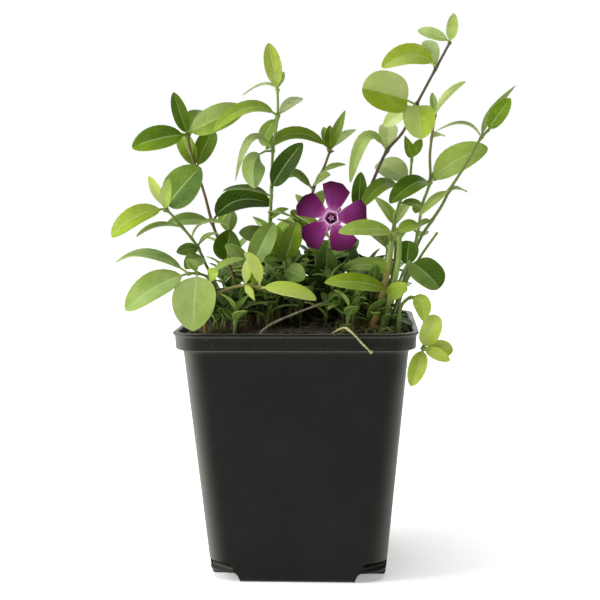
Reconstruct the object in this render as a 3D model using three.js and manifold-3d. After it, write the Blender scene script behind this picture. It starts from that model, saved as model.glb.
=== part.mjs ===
// A lesser periwinkle with one open flower, in a square black nursery pot.
// Millimetres, +Z up. The pot stands on z = 0 with its centre line on the Z axis, and the plant is seen
// from the -Y side. Every leafy shoot is one solid: its stem, with the leaves grown on it.

import * as THREE from 'three';
import { mergeVertices } from 'three/addons/utils/BufferGeometryUtils.js';
import Module from 'manifold-3d';

const wasm = await Module();
wasm.setup();

// Driving dimensions of the pot

const POT_HEIGHT = 95;
const FOOT_HALF = 33;
const BODY_HALF = 42.2;
const COLLAR_HALF = 44.2;
const LIP_HALF = 45.2;
const COLLAR_HEIGHT = 6.4;
const COLLAR_LEAN = 0.2;
const LIP_HEIGHT = 0.7;
const BODY_CORNER = 9;
const COLLAR_CORNER = 10.6;
const LIP_CORNER = 11.6;
const LEDGE_ROUND = 1.2;
const FOOT_ROUND = 0.7;
const WALL = 1.3;
const FLOOR = 1.5;
const CORNER_RISE = 3.6;
const FOOT_ARM_HALF = 22.5;
const WINDOW_WIDTH = 10;
const WINDOW_HEIGHT = 3.2;
const WINDOW_DEPTH = 3.4;

// Driving dimensions of the soil and the plant

const GAP = 0.35;
const SOIL_EDGE = 92;
const SOIL_RISE = 3.4;
const SOIL_BUMP = 0.7;
const SOIL_RINGS = [0.86, 0.66, 0.44, 0.22];
const ROOT_DEPTH = 9;
const HOLE_FLARE = 0.4;
const HOLE_SIDES = 4;
const STEM_RADIUS = 0.7;
const STEM_SIDES = 5;
const BLADE_THICK = 0.6;
const STALK_WIDTH = 0.8;
const TIP_WIDTH = 0.6;
const ROOT_START = 0.12;
const LAST_NODE = 0.7;
const FOLDED_WIDTH = 5;
const NARROW_WIDTH = 4.1;
const PETAL_THICK = 0.6;

// Which way the upper face of a blade looks

const FRONT = [0, -1, 0.3];
const TILTED = [0, -1, 1];
const UP = [0, -0.3, 1];
const BACK = [0, 1, 0.3];

// Colours of the nodes

const BLACK_PLASTIC = 0x26262a;
const COMPOST = 0x2b2119;
const DARK_GREEN = 0x3d6b22;
const MID_GREEN = 0x5c8a33;
const GREY_GREEN = 0x6f9455;
const LIGHT_GREEN = 0x8fb24a;
const YELLOW_GREEN = 0xa6bf4e;
const PETAL_PURPLE = 0x6d2063;
const EYE_MAROON = 0x7a2a4a;
const DEAD_STALK = 0x8d8266;
const STRAW = 0xb3a377;

const vec = (p) => new THREE.Vector3(p[0], p[1], p[2]);

// Solids and geometries

function solidOf(geometry) {
  const bare = geometry.clone();
  bare.deleteAttribute('normal');
  bare.deleteAttribute('uv');
  const merged = mergeVertices(bare, 1e-4);
  return new wasm.Manifold(new wasm.Mesh({
    numProp: 3,
    vertProperties: new Float32Array(merged.attributes.position.array),
    triVerts: new Uint32Array(merged.index.array),
  }));
}

function geometryOf(solid) {
  const mesh = solid.getMesh();
  const geometry = new THREE.BufferGeometry();
  geometry.setAttribute('position', new THREE.BufferAttribute(Float32Array.from(mesh.vertProperties), 3));
  geometry.setIndex(new THREE.BufferAttribute(Uint32Array.from(mesh.triVerts), 1));
  geometry.computeVertexNormals();
  return geometry;
}

function meshOf(name, solid, colour, roughness = 0.6) {
  const material = new THREE.MeshStandardMaterial({ color: colour, roughness, metalness: 0 });
  const mesh = new THREE.Mesh(geometryOf(solid), material);
  mesh.name = name;
  return mesh;
}

function indexedGeometry(points, faces) {
  const geometry = new THREE.BufferGeometry();
  geometry.setAttribute('position', new THREE.Float32BufferAttribute(points.flatMap((p) => p.toArray()), 3));
  geometry.setIndex(faces.flat());
  return facingOut(geometry);
}

// Turns a closed geometry inside out where its faces look inwards

function facingOut(geometry) {
  const position = geometry.attributes.position;
  const index = geometry.index.array;
  const [a, b, c] = [new THREE.Vector3(), new THREE.Vector3(), new THREE.Vector3()];
  let volume = 0;
  for (let i = 0; i < index.length; i += 3) {
    a.fromBufferAttribute(position, index[i]);
    b.fromBufferAttribute(position, index[i + 1]);
    c.fromBufferAttribute(position, index[i + 2]);
    volume += a.dot(b.cross(c));
  }
  if (volume < 0) {
    const flipped = Array.from(index);
    for (let i = 0; i < flipped.length; i += 3) {
      [flipped[i], flipped[i + 1]] = [flipped[i + 1], flipped[i]];
    }
    geometry.setIndex(flipped);
  }
  return geometry;
}

// A closed solid through rings of equally many points, closed by a fan at each end

function loft(rings) {
  const count = rings[0].length;
  const points = rings.flat();
  const faces = [];
  for (let i = 0; i < rings.length - 1; i += 1) {
    for (let j = 0; j < count; j += 1) {
      const a = i * count + j;
      const b = i * count + (j + 1) % count;
      faces.push([a, b, b + count], [a, b + count, a + count]);
    }
  }
  const addFan = (ring, first, turned) => {
    const centre = ring.reduce((sum, p) => sum.add(p), new THREE.Vector3()).divideScalar(count);
    points.push(centre);
    for (let j = 0; j < count; j += 1) {
      const pair = [first + j, first + (j + 1) % count];
      faces.push(turned ? [pair[1], pair[0], points.length - 1] : [...pair, points.length - 1]);
    }
  };
  addFan(rings[0], 0, true);
  addFan(rings[rings.length - 1], (rings.length - 1) * count, false);
  return indexedGeometry(points, faces);
}

// A thin closed sheet round a grid of points: both faces are split into triangles alike

function sheet(grid, normals, thick) {
  const across = grid[0].length;
  const points = [];
  for (const side of [1, -1]) {
    grid.forEach((row, i) => row.forEach((p, j) => {
      points.push(p.clone().addScaledVector(normals[i][j], side * thick / 2));
    }));
  }
  const below = grid.length * across;
  const faces = [];
  for (let i = 0; i < grid.length - 1; i += 1) {
    for (let j = 0; j < across - 1; j += 1) {
      const a = i * across + j;
      const c = a + across + 1;
      for (const [p, q, r] of [[a, a + 1, c], [a, c, a + across]]) {
        faces.push([p, q, r], [q + below, p + below, r + below]);
      }
    }
  }
  const rim = [];
  for (let j = 0; j < across - 1; j += 1) {
    rim.push(j);
  }
  for (let i = 0; i < grid.length - 1; i += 1) {
    rim.push(i * across + across - 1);
  }
  for (let j = across - 1; j > 0; j -= 1) {
    rim.push((grid.length - 1) * across + j);
  }
  for (let i = grid.length - 1; i > 0; i -= 1) {
    rim.push(i * across);
  }
  rim.forEach((a, k) => {
    const b = rim[(k + 1) % rim.length];
    faces.push([b, a, a + below], [b, a + below, b + below]);
  });
  return indexedGeometry(points, faces);
}

function joined(solids) {
  return solids.reduce((sum, solid) => sum.add(solid));
}

// Random numbers that come out the same each time

function randomFrom(seed) {
  let state = seed * 7919 + 17;
  return () => {
    state = (state * 16807) % 2147483647;
    return state / 2147483647;
  };
}

// Pot: one moulding, made as an outer body less a hollow

function squareRing(half, corner, z, steps = 5) {
  const ring = [];
  for (let side = 0; side < 4; side += 1) {
    for (let k = 0; k <= steps; k += 1) {
      const angle = (side + k / steps) * Math.PI / 2;
      const reach = half - corner;
      const cx = side === 0 || side === 3 ? reach : -reach;
      const cy = side < 2 ? reach : -reach;
      ring.push(new THREE.Vector3(cx + corner * Math.cos(angle), cy + corner * Math.sin(angle), z));
    }
  }
  return ring;
}

// Half width of the pot's outside at a height below the collar

function bodyHalfAt(z) {
  return FOOT_HALF + (BODY_HALF - FOOT_HALF) * z / POT_HEIGHT;
}

function ledgeHeight() {
  return POT_HEIGHT - COLLAR_HEIGHT;
}

function potOutside() {
  const ledge = ledgeHeight();
  const half = LEDGE_ROUND / 2;
  const quarter = LEDGE_ROUND / 4;
  return loft([
    squareRing(FOOT_HALF - FOOT_ROUND, BODY_CORNER - FOOT_ROUND, 0),
    squareRing(bodyHalfAt(FOOT_ROUND), BODY_CORNER, FOOT_ROUND),
    squareRing(bodyHalfAt(ledge - LEDGE_ROUND), BODY_CORNER, ledge - LEDGE_ROUND),
    squareRing(bodyHalfAt(ledge) + half, BODY_CORNER + half, ledge - quarter),
    squareRing(COLLAR_HALF - quarter, COLLAR_CORNER - quarter, ledge),
    squareRing(COLLAR_HALF, COLLAR_CORNER, ledge + half),
    squareRing(COLLAR_HALF + COLLAR_LEAN, COLLAR_CORNER + COLLAR_LEAN, POT_HEIGHT - 2 * LIP_HEIGHT),
    squareRing(LIP_HALF, LIP_CORNER, POT_HEIGHT - LIP_HEIGHT),
    squareRing(LIP_HALF, LIP_CORNER, POT_HEIGHT),
  ]);
}

// Rings of the pot's hollow, or of what fills it with a gap all round

function hollowRings(gap, top) {
  const ledge = ledgeHeight();
  const half = (z) => bodyHalfAt(z) - WALL - gap;
  const corner = BODY_CORNER - WALL - gap;
  return [
    squareRing(half(FLOOR), corner, FLOOR + gap),
    squareRing(half(ledge), corner, ledge + gap),
    squareRing(COLLAR_HALF - WALL - gap, COLLAR_CORNER - WALL - gap, ledge + WALL + gap),
    squareRing(COLLAR_HALF + COLLAR_LEAN - WALL - gap, COLLAR_CORNER - WALL - gap, top),
  ];
}

function box(width, depth, height, x, y, z, turn = 0) {
  const geometry = new THREE.BoxGeometry(width, depth, height);
  geometry.rotateZ(turn);
  geometry.translate(x, y, z);
  return solidOf(geometry);
}

// A block in each corner, from the arm of the foot outwards and up to a height

function cornerBlocks(armHalf, top) {
  const size = FOOT_HALF * 2;
  const low = -5;
  const blocks = [];
  for (const sx of [1, -1]) {
    for (const sy of [1, -1]) {
      const centre = armHalf + size / 2;
      blocks.push(box(size, size, top - low, sx * centre, sy * centre, (top + low) / 2));
    }
  }
  return joined(blocks);
}

function drainWindows() {
  const z = CORNER_RISE + FLOOR + WINDOW_HEIGHT / 2;
  const reach = bodyHalfAt(z) - BODY_CORNER * (1 - Math.SQRT1_2);
  const windows = [];
  for (const sx of [1, -1]) {
    for (const sy of [1, -1]) {
      const turn = sx * sy * Math.PI / 4;
      windows.push(box(WINDOW_DEPTH, WINDOW_WIDTH, WINDOW_HEIGHT, sx * reach, sy * reach, z, turn));
    }
  }
  return joined(windows);
}

function makePot() {
  const hollow = solidOf(loft([
    ...hollowRings(0, POT_HEIGHT - LIP_HEIGHT),
    squareRing(LIP_HALF - WALL, LIP_CORNER - WALL, POT_HEIGHT + LIP_HEIGHT),
  ])).subtract(cornerBlocks(FOOT_ARM_HALF - FLOOR, CORNER_RISE + FLOOR));
  return solidOf(potOutside())
    .subtract(cornerBlocks(FOOT_ARM_HALF, CORNER_RISE))
    .subtract(hollow)
    .subtract(drainWindows());
}

// Soil: fills the pot and stands a little proud of the rim in the middle. Two slow waves make it uneven.

function soilTopAt(x, y) {
  const reach = Math.max(Math.abs(x), Math.abs(y)) / COLLAR_HALF;
  const mound = SOIL_RISE * (1 - reach ** 2);
  const bumps = Math.sin(0.55 * x + 1.3) * Math.cos(0.47 * y) + 0.6 * Math.sin(0.9 * y + 0.35 * x);
  return SOIL_EDGE + mound + SOIL_BUMP * bumps * Math.min(1, 2 - 2 * reach);
}

function makeSoil(roots) {
  const sides = hollowRings(GAP, SOIL_EDGE);
  const edge = sides[sides.length - 1];
  const top = SOIL_RINGS.map((scale) => edge.map((p) => {
    const x = p.x * scale;
    const y = p.y * scale;
    return new THREE.Vector3(x, y, soilTopAt(x, y));
  }));
  const block = solidOf(loft([...sides, ...top]))
    .subtract(cornerBlocks(FOOT_ARM_HALF - FLOOR - GAP, CORNER_RISE + FLOOR + GAP));
  return block.subtract(joined(roots.map(rootHole)));
}

function rootHole([x, y]) {
  const top = soilTopAt(x, y) + 4;
  const bottom = rootBottom([x, y]) - GAP;
  const radius = (STEM_RADIUS + GAP) / Math.cos(Math.PI / HOLE_SIDES);
  const geometry = new THREE.CylinderGeometry(radius + HOLE_FLARE, radius, top - bottom, HOLE_SIDES);
  geometry.rotateX(Math.PI / 2);
  geometry.translate(x, y, (top + bottom) / 2);
  return solidOf(geometry);
}

function rootBottom([x, y]) {
  return soilTopAt(x, y) - ROOT_DEPTH;
}

// Stems

function stemCurve(shoot) {
  const [x, y] = shoot.root;
  const low = rootBottom(shoot.root);
  const points = [[x, y, low], [x, y, low + ROOT_DEPTH * 0.6], [x, y, low + ROOT_DEPTH + 1], ...shoot.path];
  return new THREE.CatmullRomCurve3(points.map(vec), false, 'centripetal');
}

function stemSolid(curve, radius, steps) {
  const section = new THREE.Shape();
  for (let k = 0; k < STEM_SIDES; k += 1) {
    const angle = k / STEM_SIDES * Math.PI * 2;
    section[k === 0 ? 'moveTo' : 'lineTo'](radius * Math.cos(angle), radius * Math.sin(angle));
  }
  const geometry = new THREE.ExtrudeGeometry(section, { steps, extrudePath: curve });
  return solidOf(mergedFacingOut(geometry));
}

function mergedFacingOut(geometry) {
  geometry.deleteAttribute('normal');
  geometry.deleteAttribute('uv');
  return facingOut(mergeVertices(geometry, 1e-4));
}

// Leaves: how wide the blade is along its rib, from the end of the stalk to the tip

const POINTED = [[0, 0.12], [0.22, 0.8], [0.51, 1], [0.81, 0.66], [1, 0]];
const ROUND = [[0, 0.12], [0.2, 0.84], [0.5, 1], [0.84, 0.82], [1, 0.3]];
const PLAIN = [[0, 0.12], [0.38, 1], [0.75, 0.75], [1, 0]];

function leaf(at, tip, width, faces, shape = {}) {
  const outline = width < NARROW_WIDTH ? PLAIN : POINTED;
  return { at, tip, width, faces, arch: 0.1, fold: 14, stalk: 0.1, outline, ...shape };
}

// The rib of a leaf runs from the stem to the tip, bowed towards its upper face or through a given point

function ribCurve(base, spec) {
  const tip = vec(spec.tip);
  const middle = base.clone().add(tip).multiplyScalar(0.5);
  const along = tip.clone().sub(base);
  const up = acrossFree(vec(spec.faces), along);
  const through = spec.via ? vec(spec.via) : middle.clone().addScaledVector(up, spec.arch * along.length());
  const control = through.multiplyScalar(2).sub(middle);
  return new THREE.QuadraticBezierCurve3(base, control, tip);
}

// The part of a direction that is square to another one

function acrossFree(direction, along) {
  const axis = along.clone().normalize();
  return direction.clone().addScaledVector(axis, -direction.dot(axis)).normalize();
}

function leafSolid(base, spec) {
  const rib = ribCurve(base, spec);
  const lift = Math.tan(THREE.MathUtils.degToRad(spec.fold));
  const folded = spec.outline !== PLAIN && spec.width >= FOLDED_WIDTH;
  const blade = spec.outline.map(([t, share]) => [spec.stalk + (1 - spec.stalk) * t, share]);
  const grid = [];
  const normals = [];
  for (const [t, share] of [[0, 0], ...blade]) {
    const along = rib.getTangent(t);
    const up = acrossFree(vec(spec.faces), along);
    const side = along.clone().cross(up);
    const least = (t < 0.5 ? STALK_WIDTH : TIP_WIDTH) / 2;
    const half = Math.max(least, spec.width / 2 * share);
    const middle = rib.getPoint(t).addScaledVector(along, t === 0 ? ROOT_START : 0);
    const edge = (sign) => middle.clone().addScaledVector(side, sign * half).addScaledVector(up, half * lift);
    grid.push(folded ? [edge(-1), middle, edge(1)] : [edge(-1), edge(1)]);
    normals.push([up, up, up]);
  }
  return solidOf(sheet(grid, normals, BLADE_THICK));
}

// Leaf stations count along shoot.path: 0 is its first point, 1 its second, and so on.
// A leaf starts on the centre line of the stem, at the place nearest to its station, and those at the
// stem's end start a little below it.

function leafBase(shoot, centreLine, at) {
  const points = shoot.path.map(vec);
  const low = Math.min(Math.floor(at), points.length - 1);
  const high = Math.min(low + 1, points.length - 1);
  const wanted = points[low].clone().lerp(points[high], at - low);
  if (low === high) {
    wanted.addScaledVector(points[low].clone().sub(points[low - 1]).normalize(), -LAST_NODE);
  }
  const candidates = centreLine.slice(1).map((end, k) => (
    new THREE.Line3(centreLine[k], end).closestPointToPoint(wanted, true, new THREE.Vector3())
  ));
  return candidates.reduce((best, p) => (p.distanceTo(wanted) < best.distanceTo(wanted) ? p : best));
}

function shootSolid(shoot) {
  const curve = stemCurve(shoot);
  const steps = 3 + shoot.path.length;
  const centreLine = curve.getSpacedPoints(steps);
  const leaves = shoot.leaves.map((spec) => leafSolid(leafBase(shoot, centreLine, spec.at), spec));
  return joined([stemSolid(curve, shoot.radius ?? STEM_RADIUS, steps), ...leaves]);
}

// Shoots that the front view shows, from left to right. A path starts where the stem leaves the soil.
// Each leaf has its station on the stem, its tip, its width and the way its upper face looks.

const SHOOTS = [
  {
    name: 'shoot_upper_left',
    colour: DARK_GREEN,
    root: [-20, 9],
    path: [
      [-26, 9, 110], [-31, 8, 122], [-35, 7, 133], [-38, 6, 145], [-41, 5, 155], [-43, 4, 162],
      [-44, 3, 169],
    ],
    leaves: [
      leaf(6, [-65, -2, 163], 9.5, [0, -1, 0.5]),
      leaf(6, [-48, -5, 184], 6, FRONT),
      leaf(6, [-40, 15, 178], 8, FRONT),
      leaf(6, [-21, 1, 178], 9.5, FRONT),
      leaf(4, [-48, 13, 169], 7, FRONT),
      leaf(4, [-35, 14, 170], 8, FRONT),
      leaf(2, [-52, -2, 133], 7, TILTED),
      leaf(2, [-12, 14, 140], 12, TILTED, { via: [-25, 11, 142] }),
      leaf(0.6, [-27, -2, 131], 9, FRONT),
    ],
  },
  {
    name: 'shoot_middle_left',
    colour: LIGHT_GREEN,
    root: [-25, -6],
    path: [
      [-31, -8, 108], [-36, -9, 118], [-39, -10, 125], [-44, -12, 132], [-48, -13, 137], [-51, -14, 140],
    ],
    leaves: [
      leaf(5, [-70, -20, 129], 8.5, TILTED, { arch: 0.16 }),
      leaf(5, [-58, -6, 152], 4, FRONT),
      leaf(5, [-47, -25, 151], 4.6, FRONT),
      leaf(5, [-36, -19, 155], 14, FRONT, { fold: 8 }),
      leaf(3, [-61, -18, 129], 5.5, UP, { via: [-53, -16, 133] }),
      leaf(2.4, [-26, -14, 133], 5, UP, { via: [-36, -13, 134] }),
      leaf(2, [-31, -4, 129], 3, UP, { via: [-35, -6, 129] }),
      leaf(1.8, [-46, -17, 123], 5, FRONT),
      leaf(1.4, [-42, -22, 117], 7, FRONT),
    ],
  },
  {
    name: 'shoot_lower_left',
    colour: GREY_GREEN,
    root: [-27, -21],
    path: [[-29, -23, 104], [-30, -25, 109], [-32, -29, 114], [-36, -31, 116], [-40, -33, 116]],
    leaves: [
      leaf(4, [-67, -28, 120], 9, UP, { via: [-54, -31, 122.5] }),
      leaf(4, [-62, -38, 103], 12.5, TILTED),
      leaf(3, [-36, -47, 96.5], 16, FRONT, { fold: 8 }),
      leaf(3, [-41, -26, 121], 4, UP),
      leaf(2, [-19, -27, 121], 6, UP),
      leaf(2, [-28, -34, 117], 5, FRONT),
    ],
  },
  {
    name: 'front_sprout',
    colour: YELLOW_GREEN,
    root: [-33, -34],
    path: [[-33, -35, 103], [-28, -35.5, 109], [-23, -36, 111], [-18, -36.5, 112], [-12, -37, 111]],
    leaves: [
      leaf(4, [8, -40, 107], 6.6, TILTED),
      leaf(4, [-18, -39, 124], 4.4, FRONT, { via: [-14, -38, 119] }),
      leaf(3, [-17, -33, 122], 3.6, FRONT),
      leaf(3.4, [-13, -29, 119], 5, FRONT),
      leaf(3, [-14, -43, 107], 2.6, FRONT),
    ],
  },
  {
    name: 'shoot_tall_centre',
    colour: MID_GREEN,
    root: [-13, 2],
    path: [[-13, 1, 118], [-12, 0, 127], [-11, -1, 142], [-10, -2, 162], [-8, -3, 175], [-8, -3, 185]],
    leaves: [
      leaf(5, [-11, -7, 202], 6.6, FRONT),
      leaf(5, [-6, 4, 192], 3, FRONT),
      leaf(5, [-22, 2, 183], 3, UP, { via: [-14, 0, 187] }),
      leaf(4, [-32, -10, 169], 7, TILTED, { via: [-19, -8, 177.5] }),
      leaf(4, [1, 9, 182], 5, TILTED),
      leaf(4, [-15, 9, 164], 6, FRONT),
      leaf(3, [-24, -9, 150], 3.6, TILTED, { via: [-18, -6, 166] }),
      leaf(3, [-16, -15, 147], 9.5, BACK, { via: [-16, -12, 158] }),
      leaf(2.2, [2, -12, 164], 8.5, FRONT),
      leaf(2.1, [-30, 2, 146], 6, UP),
      leaf(1.6, [0, -10, 135], 3, UP, { via: [-9, -7, 138] }),
      leaf(1.5, [-4, -4, 139], 4, TILTED),
      leaf(1, [-23, -8, 130], 7, FRONT),
    ],
  },
  {
    name: 'low_sprout_left',
    colour: GREY_GREEN,
    root: [-15, -14],
    path: [[-16, -16, 106], [-18, -18, 117]],
    leaves: [
      leaf(1, [-9, -15, 134], 9, FRONT),
      leaf(1, [-27, -20, 126], 6, TILTED),
      leaf(0, [-10, -26, 108], 5, TILTED),
      leaf(0, [-26, -18, 108], 6, TILTED),
    ],
  },
  {
    name: 'low_sprout_centre',
    colour: MID_GREEN,
    root: [-3, -11],
    path: [[-4, -12, 108], [-5, -13, 120]],
    leaves: [
      leaf(1, [-10, -11, 133], 7, FRONT),
      leaf(1, [0, -13, 134], 8, FRONT),
      leaf(1, [-12, -24, 120], 5, TILTED),
      leaf(0.6, [3, -21, 113], 8, FRONT),
      leaf(0, [-4, -24, 106], 6, TILTED),
      leaf(0, [6, -12, 106], 5, TILTED),
    ],
  },
  {
    name: 'shoot_centre',
    colour: DARK_GREEN,
    root: [6, 11],
    path: [[6, 10, 126], [5, 9, 146], [9, 8, 154], [12, 8, 162]],
    leaves: [
      leaf(3, [-13, 1, 162], 7, TILTED, { via: [-1, 4, 168] }),
      leaf(3, [9, 15, 171], 4, FRONT),
      leaf(3, [18, 3, 177], 4, FRONT),
      leaf(3, [12, -1, 171], 4.5, FRONT),
      leaf(3, [22, 18, 170], 4, TILTED),
      leaf(1, [-5, 3, 151], 5, TILTED, { via: [-1, 5, 152] }),
      leaf(1.2, [12, 3, 152], 6, TILTED),
      leaf(1.8, [18, 4, 156], 3, TILTED),
      leaf(0, [16, 8, 139], 7, TILTED),
      leaf(0, [-4, 14, 138], 7, TILTED),
    ],
  },
  {
    name: 'flowering_shoot',
    colour: GREY_GREEN,
    root: [10, -7],
    path: [
      [11, -8, 106], [12, -8, 119], [12.5, -5.5, 127], [13, -6.5, 132.5], [13, -9, 134.3], [13, -11, 134.8],
    ],
    leaves: [
      leaf(0, [11, -15, 125], 9, FRONT),
      leaf(2, [-1, -13, 137], 4, TILTED),
      leaf(1, [19, -15, 126], 6, TILTED),
      leaf(1, [3, -4, 126], 6, TILTED),
    ],
  },
  {
    name: 'shoot_tallest',
    colour: YELLOW_GREEN,
    root: [14, 5],
    path: [
      [18, 4, 123], [23, 2, 137], [28, 0, 148], [34, -1, 161], [40, -2, 168], [45, -3, 178],
      [52, -4, 191], [58, -4, 202],
    ],
    leaves: [
      leaf(7, [59, -9, 212], 4.4, FRONT),
      leaf(7, [46, 1, 207], 4.6, FRONT),
      leaf(6, [50, 10, 204], 6.5, FRONT),
      leaf(6.2, [32, -10, 192], 8.5, FRONT, { via: [43, -8, 197] }),
      leaf(5, [24.5, -14, 184], 16, FRONT, { outline: ROUND, stalk: 0.22, fold: 18 }),
      leaf(5, [46.5, -18, 165], 12, TILTED, { outline: ROUND }),
      leaf(5, [33, 4, 171], 6, FRONT),
      leaf(3, [35, 13, 172], 7.5, FRONT),
      leaf(3, [20, -8, 149], 5.5, TILTED, { via: [26, -5, 166] }),
      leaf(1, [24, -4, 153], 6, FRONT),
    ],
  },
  {
    name: 'upright_sprig',
    colour: MID_GREEN,
    root: [30, 11],
    path: [[35, 12, 122], [39, 11.5, 140], [43, 11, 149], [44, 10, 158]],
    leaves: [
      leaf(3, [41, 3, 167], 4, FRONT),
      leaf(3, [48, 16, 166], 4, FRONT),
      leaf(2, [30, 15, 156], 11, TILTED),
      leaf(1.6, [24, -8, 139], 7, TILTED, { via: [33, -2, 148] }),
      leaf(1, [50, 19, 138], 5, TILTED),
    ],
  },
  {
    name: 'shoot_upright_right',
    colour: LIGHT_GREEN,
    root: [36, 4],
    path: [[40, 4, 108], [43, 4, 118], [46, 5, 128], [48, 6, 140], [51, 7, 149], [51, 7, 160], [53, 7, 176]],
    leaves: [
      leaf(6, [52, 12, 184], 3, FRONT),
      leaf(6, [64, -3, 187], 4.5, TILTED),
      leaf(5.4, [57, 18, 167], 4, TILTED),
      leaf(4, [73, 2, 162], 12, [0, -1, 0.7], { arch: 0.14 }),
      leaf(4, [58, 12, 153], 5, TILTED),
      leaf(4, [35, -8, 141], 9, TILTED, { via: [44, -2, 148] }),
      leaf(3, [45, 0, 137], 5, TILTED),
      leaf(2, [48, 20, 127], 7, TILTED),
    ],
  },
  {
    name: 'shoot_outer_right',
    colour: MID_GREEN,
    root: [37, -7],
    path: [
      [41, -8, 112], [47, -7, 128], [51, -6, 134], [55, -5, 140], [58, -5, 146], [65, -5, 157], [70, -6, 166],
      [73, -6, 169],
    ],
    leaves: [
      leaf(7, [80, -12, 180], 5.6, FRONT),
      leaf(6, [84, 6, 186], 3.2, FRONT, { via: [74, 0, 175] }),
      leaf(6, [53, -4, 168.5], 4, UP, { via: [63, -7, 171] }),
      leaf(4, [65, 0, 145], 4, UP),
      leaf(4, [46, -10, 136], 4, TILTED),
      leaf(2, [45, -2, 131], 3.4, TILTED),
    ],
  },
  {
    name: 'cut_stalk',
    colour: DEAD_STALK,
    root: [35, -15],
    path: [[39, -15, 107], [46, -13, 120], [53, -12, 130]],
    leaves: [],
  },
  {
    name: 'front_right_sprout',
    colour: YELLOW_GREEN,
    root: [30, -28],
    path: [[33, -28, 106], [36, -27, 115], [37, -27, 124], [37, -27, 131]],
    leaves: [
      leaf(3, [16, -32, 131], 7.5, TILTED),
      leaf(3, [46, -18, 133], 6, TILTED),
      leaf(0.3, [11, -37, 113], 7, [0, -1, 0.6], { arch: 0.14 }),
      leaf(0, [41, -33, 112], 6, FRONT),
      leaf(1, [27, -30, 120], 4, FRONT),
    ],
  },
  {
    name: 'round_leaf_sprout',
    colour: DARK_GREEN,
    root: [33, -20],
    path: [[37, -21, 108], [40, -22, 116], [42.5, -22, 120]],
    leaves: [
      leaf(2, [53, -27, 110], 12.5, TILTED, { outline: ROUND }),
      leaf(1.5, [42, -17, 127], 8, FRONT),
      leaf(1, [17, -18, 117], 7, TILTED),
      leaf(0, [29, -14, 110], 6, TILTED),
    ],
  },
  {
    name: 'trailing_sprig',
    colour: YELLOW_GREEN,
    root: [38, -30],
    path: [[39, -30, 104], [43, -31, 107], [46.5, -33, 102], [47.2, -34.5, 94], [46.8, -36.5, 88]],
    leaves: [
      leaf(4, [51.5, -36, 101], 7.5, FRONT, { outline: ROUND }),
      leaf(4, [57.5, -34, 88], 6.5, FRONT),
      leaf(4, [56, -41, 85], 4.5, FRONT),
      leaf(4, [42, -43.5, 76], 6.5, FRONT),
      leaf(0.8, [46.5, -38, 99], 6.5, TILTED, { via: [46, -34, 105] }),
    ],
  },
];

// Shoots made by a rule: pairs of opposite leaves, each pair turned a quarter from the one below it.
// The stem leaves the soil upright and bends over towards its tip.

const FAR_SHOOTS = [
  { root: [-27, 22], tip: [-32, 36, 128], twist: 20 },
  { root: [-12, 31], tip: [-14, 56, 122], twist: 130 },
  { root: [3, 23], tip: [3, 33, 134], twist: 35 },
  { root: [14, 34], tip: [16, 58, 122], twist: 110 },
  { root: [31, 24], tip: [38, 38, 131], twist: 42 },
];

const FRONT_SPROUTS = [
  { root: [-22, -38], tip: [-21, -39, 103], twist: 30 },
  { root: [19, -33], tip: [20, -33, 104], twist: 25 },
];

function ruleShoot(name, { root, tip, twist }, { pairs, leafLength, leafWidth, colour, seed }) {
  const random = randomFrom(seed);
  const soil = soilTopAt(root[0], root[1]);
  const path = [];
  const leaves = [];
  for (let k = 1; k <= pairs; k += 1) {
    const s = k / pairs;
    const node = vec([
      root[0] + (tip[0] - root[0]) * s ** 1.5,
      root[1] + (tip[1] - root[1]) * s ** 1.5,
      soil + (tip[2] - soil) * s ** 0.85,
    ]);
    path.push(node.toArray());
    const rise = THREE.MathUtils.degToRad(15 + 30 * s);
    const turn = THREE.MathUtils.degToRad(twist + 90 * k);
    for (const side of [0, Math.PI]) {
      const azimuth = turn + side + 0.3 * (random() - 0.5);
      const reach = leafLength * (1.15 - 0.4 * s) * (0.85 + 0.3 * random());
      const out = new THREE.Vector3(Math.cos(azimuth), Math.sin(azimuth), 0);
      const along = out.clone().multiplyScalar(Math.cos(rise)).setZ(Math.sin(rise));
      const face = out.clone().multiplyScalar(-Math.sin(rise)).setZ(Math.cos(rise));
      const end = node.clone().addScaledVector(along, reach);
      const width = leafWidth * reach / leafLength;
      leaves.push(leaf(k - 1, end.toArray(), width, face.toArray(), { outline: PLAIN }));
    }
  }
  return { name, colour, root, path, leaves };
}

const farShoots = FAR_SHOOTS.map((spec, k) => ruleShoot(`far_shoot_${k + 1}`, spec, {
  pairs: 3, leafLength: 21, leafWidth: 10, colour: k % 2 === 0 ? MID_GREEN : DARK_GREEN, seed: 11 + k,
}));

const frontSprouts = FRONT_SPROUTS.map((spec, k) => ruleShoot(`front_seedling_${k + 1}`, spec, {
  pairs: 2, leafLength: 11, leafWidth: 6, colour: DARK_GREEN, seed: 31 + k,
}));

// Dead stalks: one leans across the soil, one lies over the front rim

const DEAD_STALKS = [
  {
    name: 'dead_stalk',
    colour: DEAD_STALK,
    radius: 0.5,
    root: [-13, -39],
    path: [[-10, -38, 97], [-2, -33, 100.5], [12, -24, 105]],
    leaves: [],
  },
  {
    name: 'straw_stalk',
    colour: STRAW,
    radius: 0.5,
    root: [14, -36],
    path: [[16, -40, 96], [18.5, -43.5, 97.2], [21, -46.6, 95.8], [24.5, -46.8, 92], [28, -46.4, 88.5]],
    leaves: [],
  },
];

// Flower: its own frame has X to the right, Y up and Z out of the face, with the eye at the origin

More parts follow.
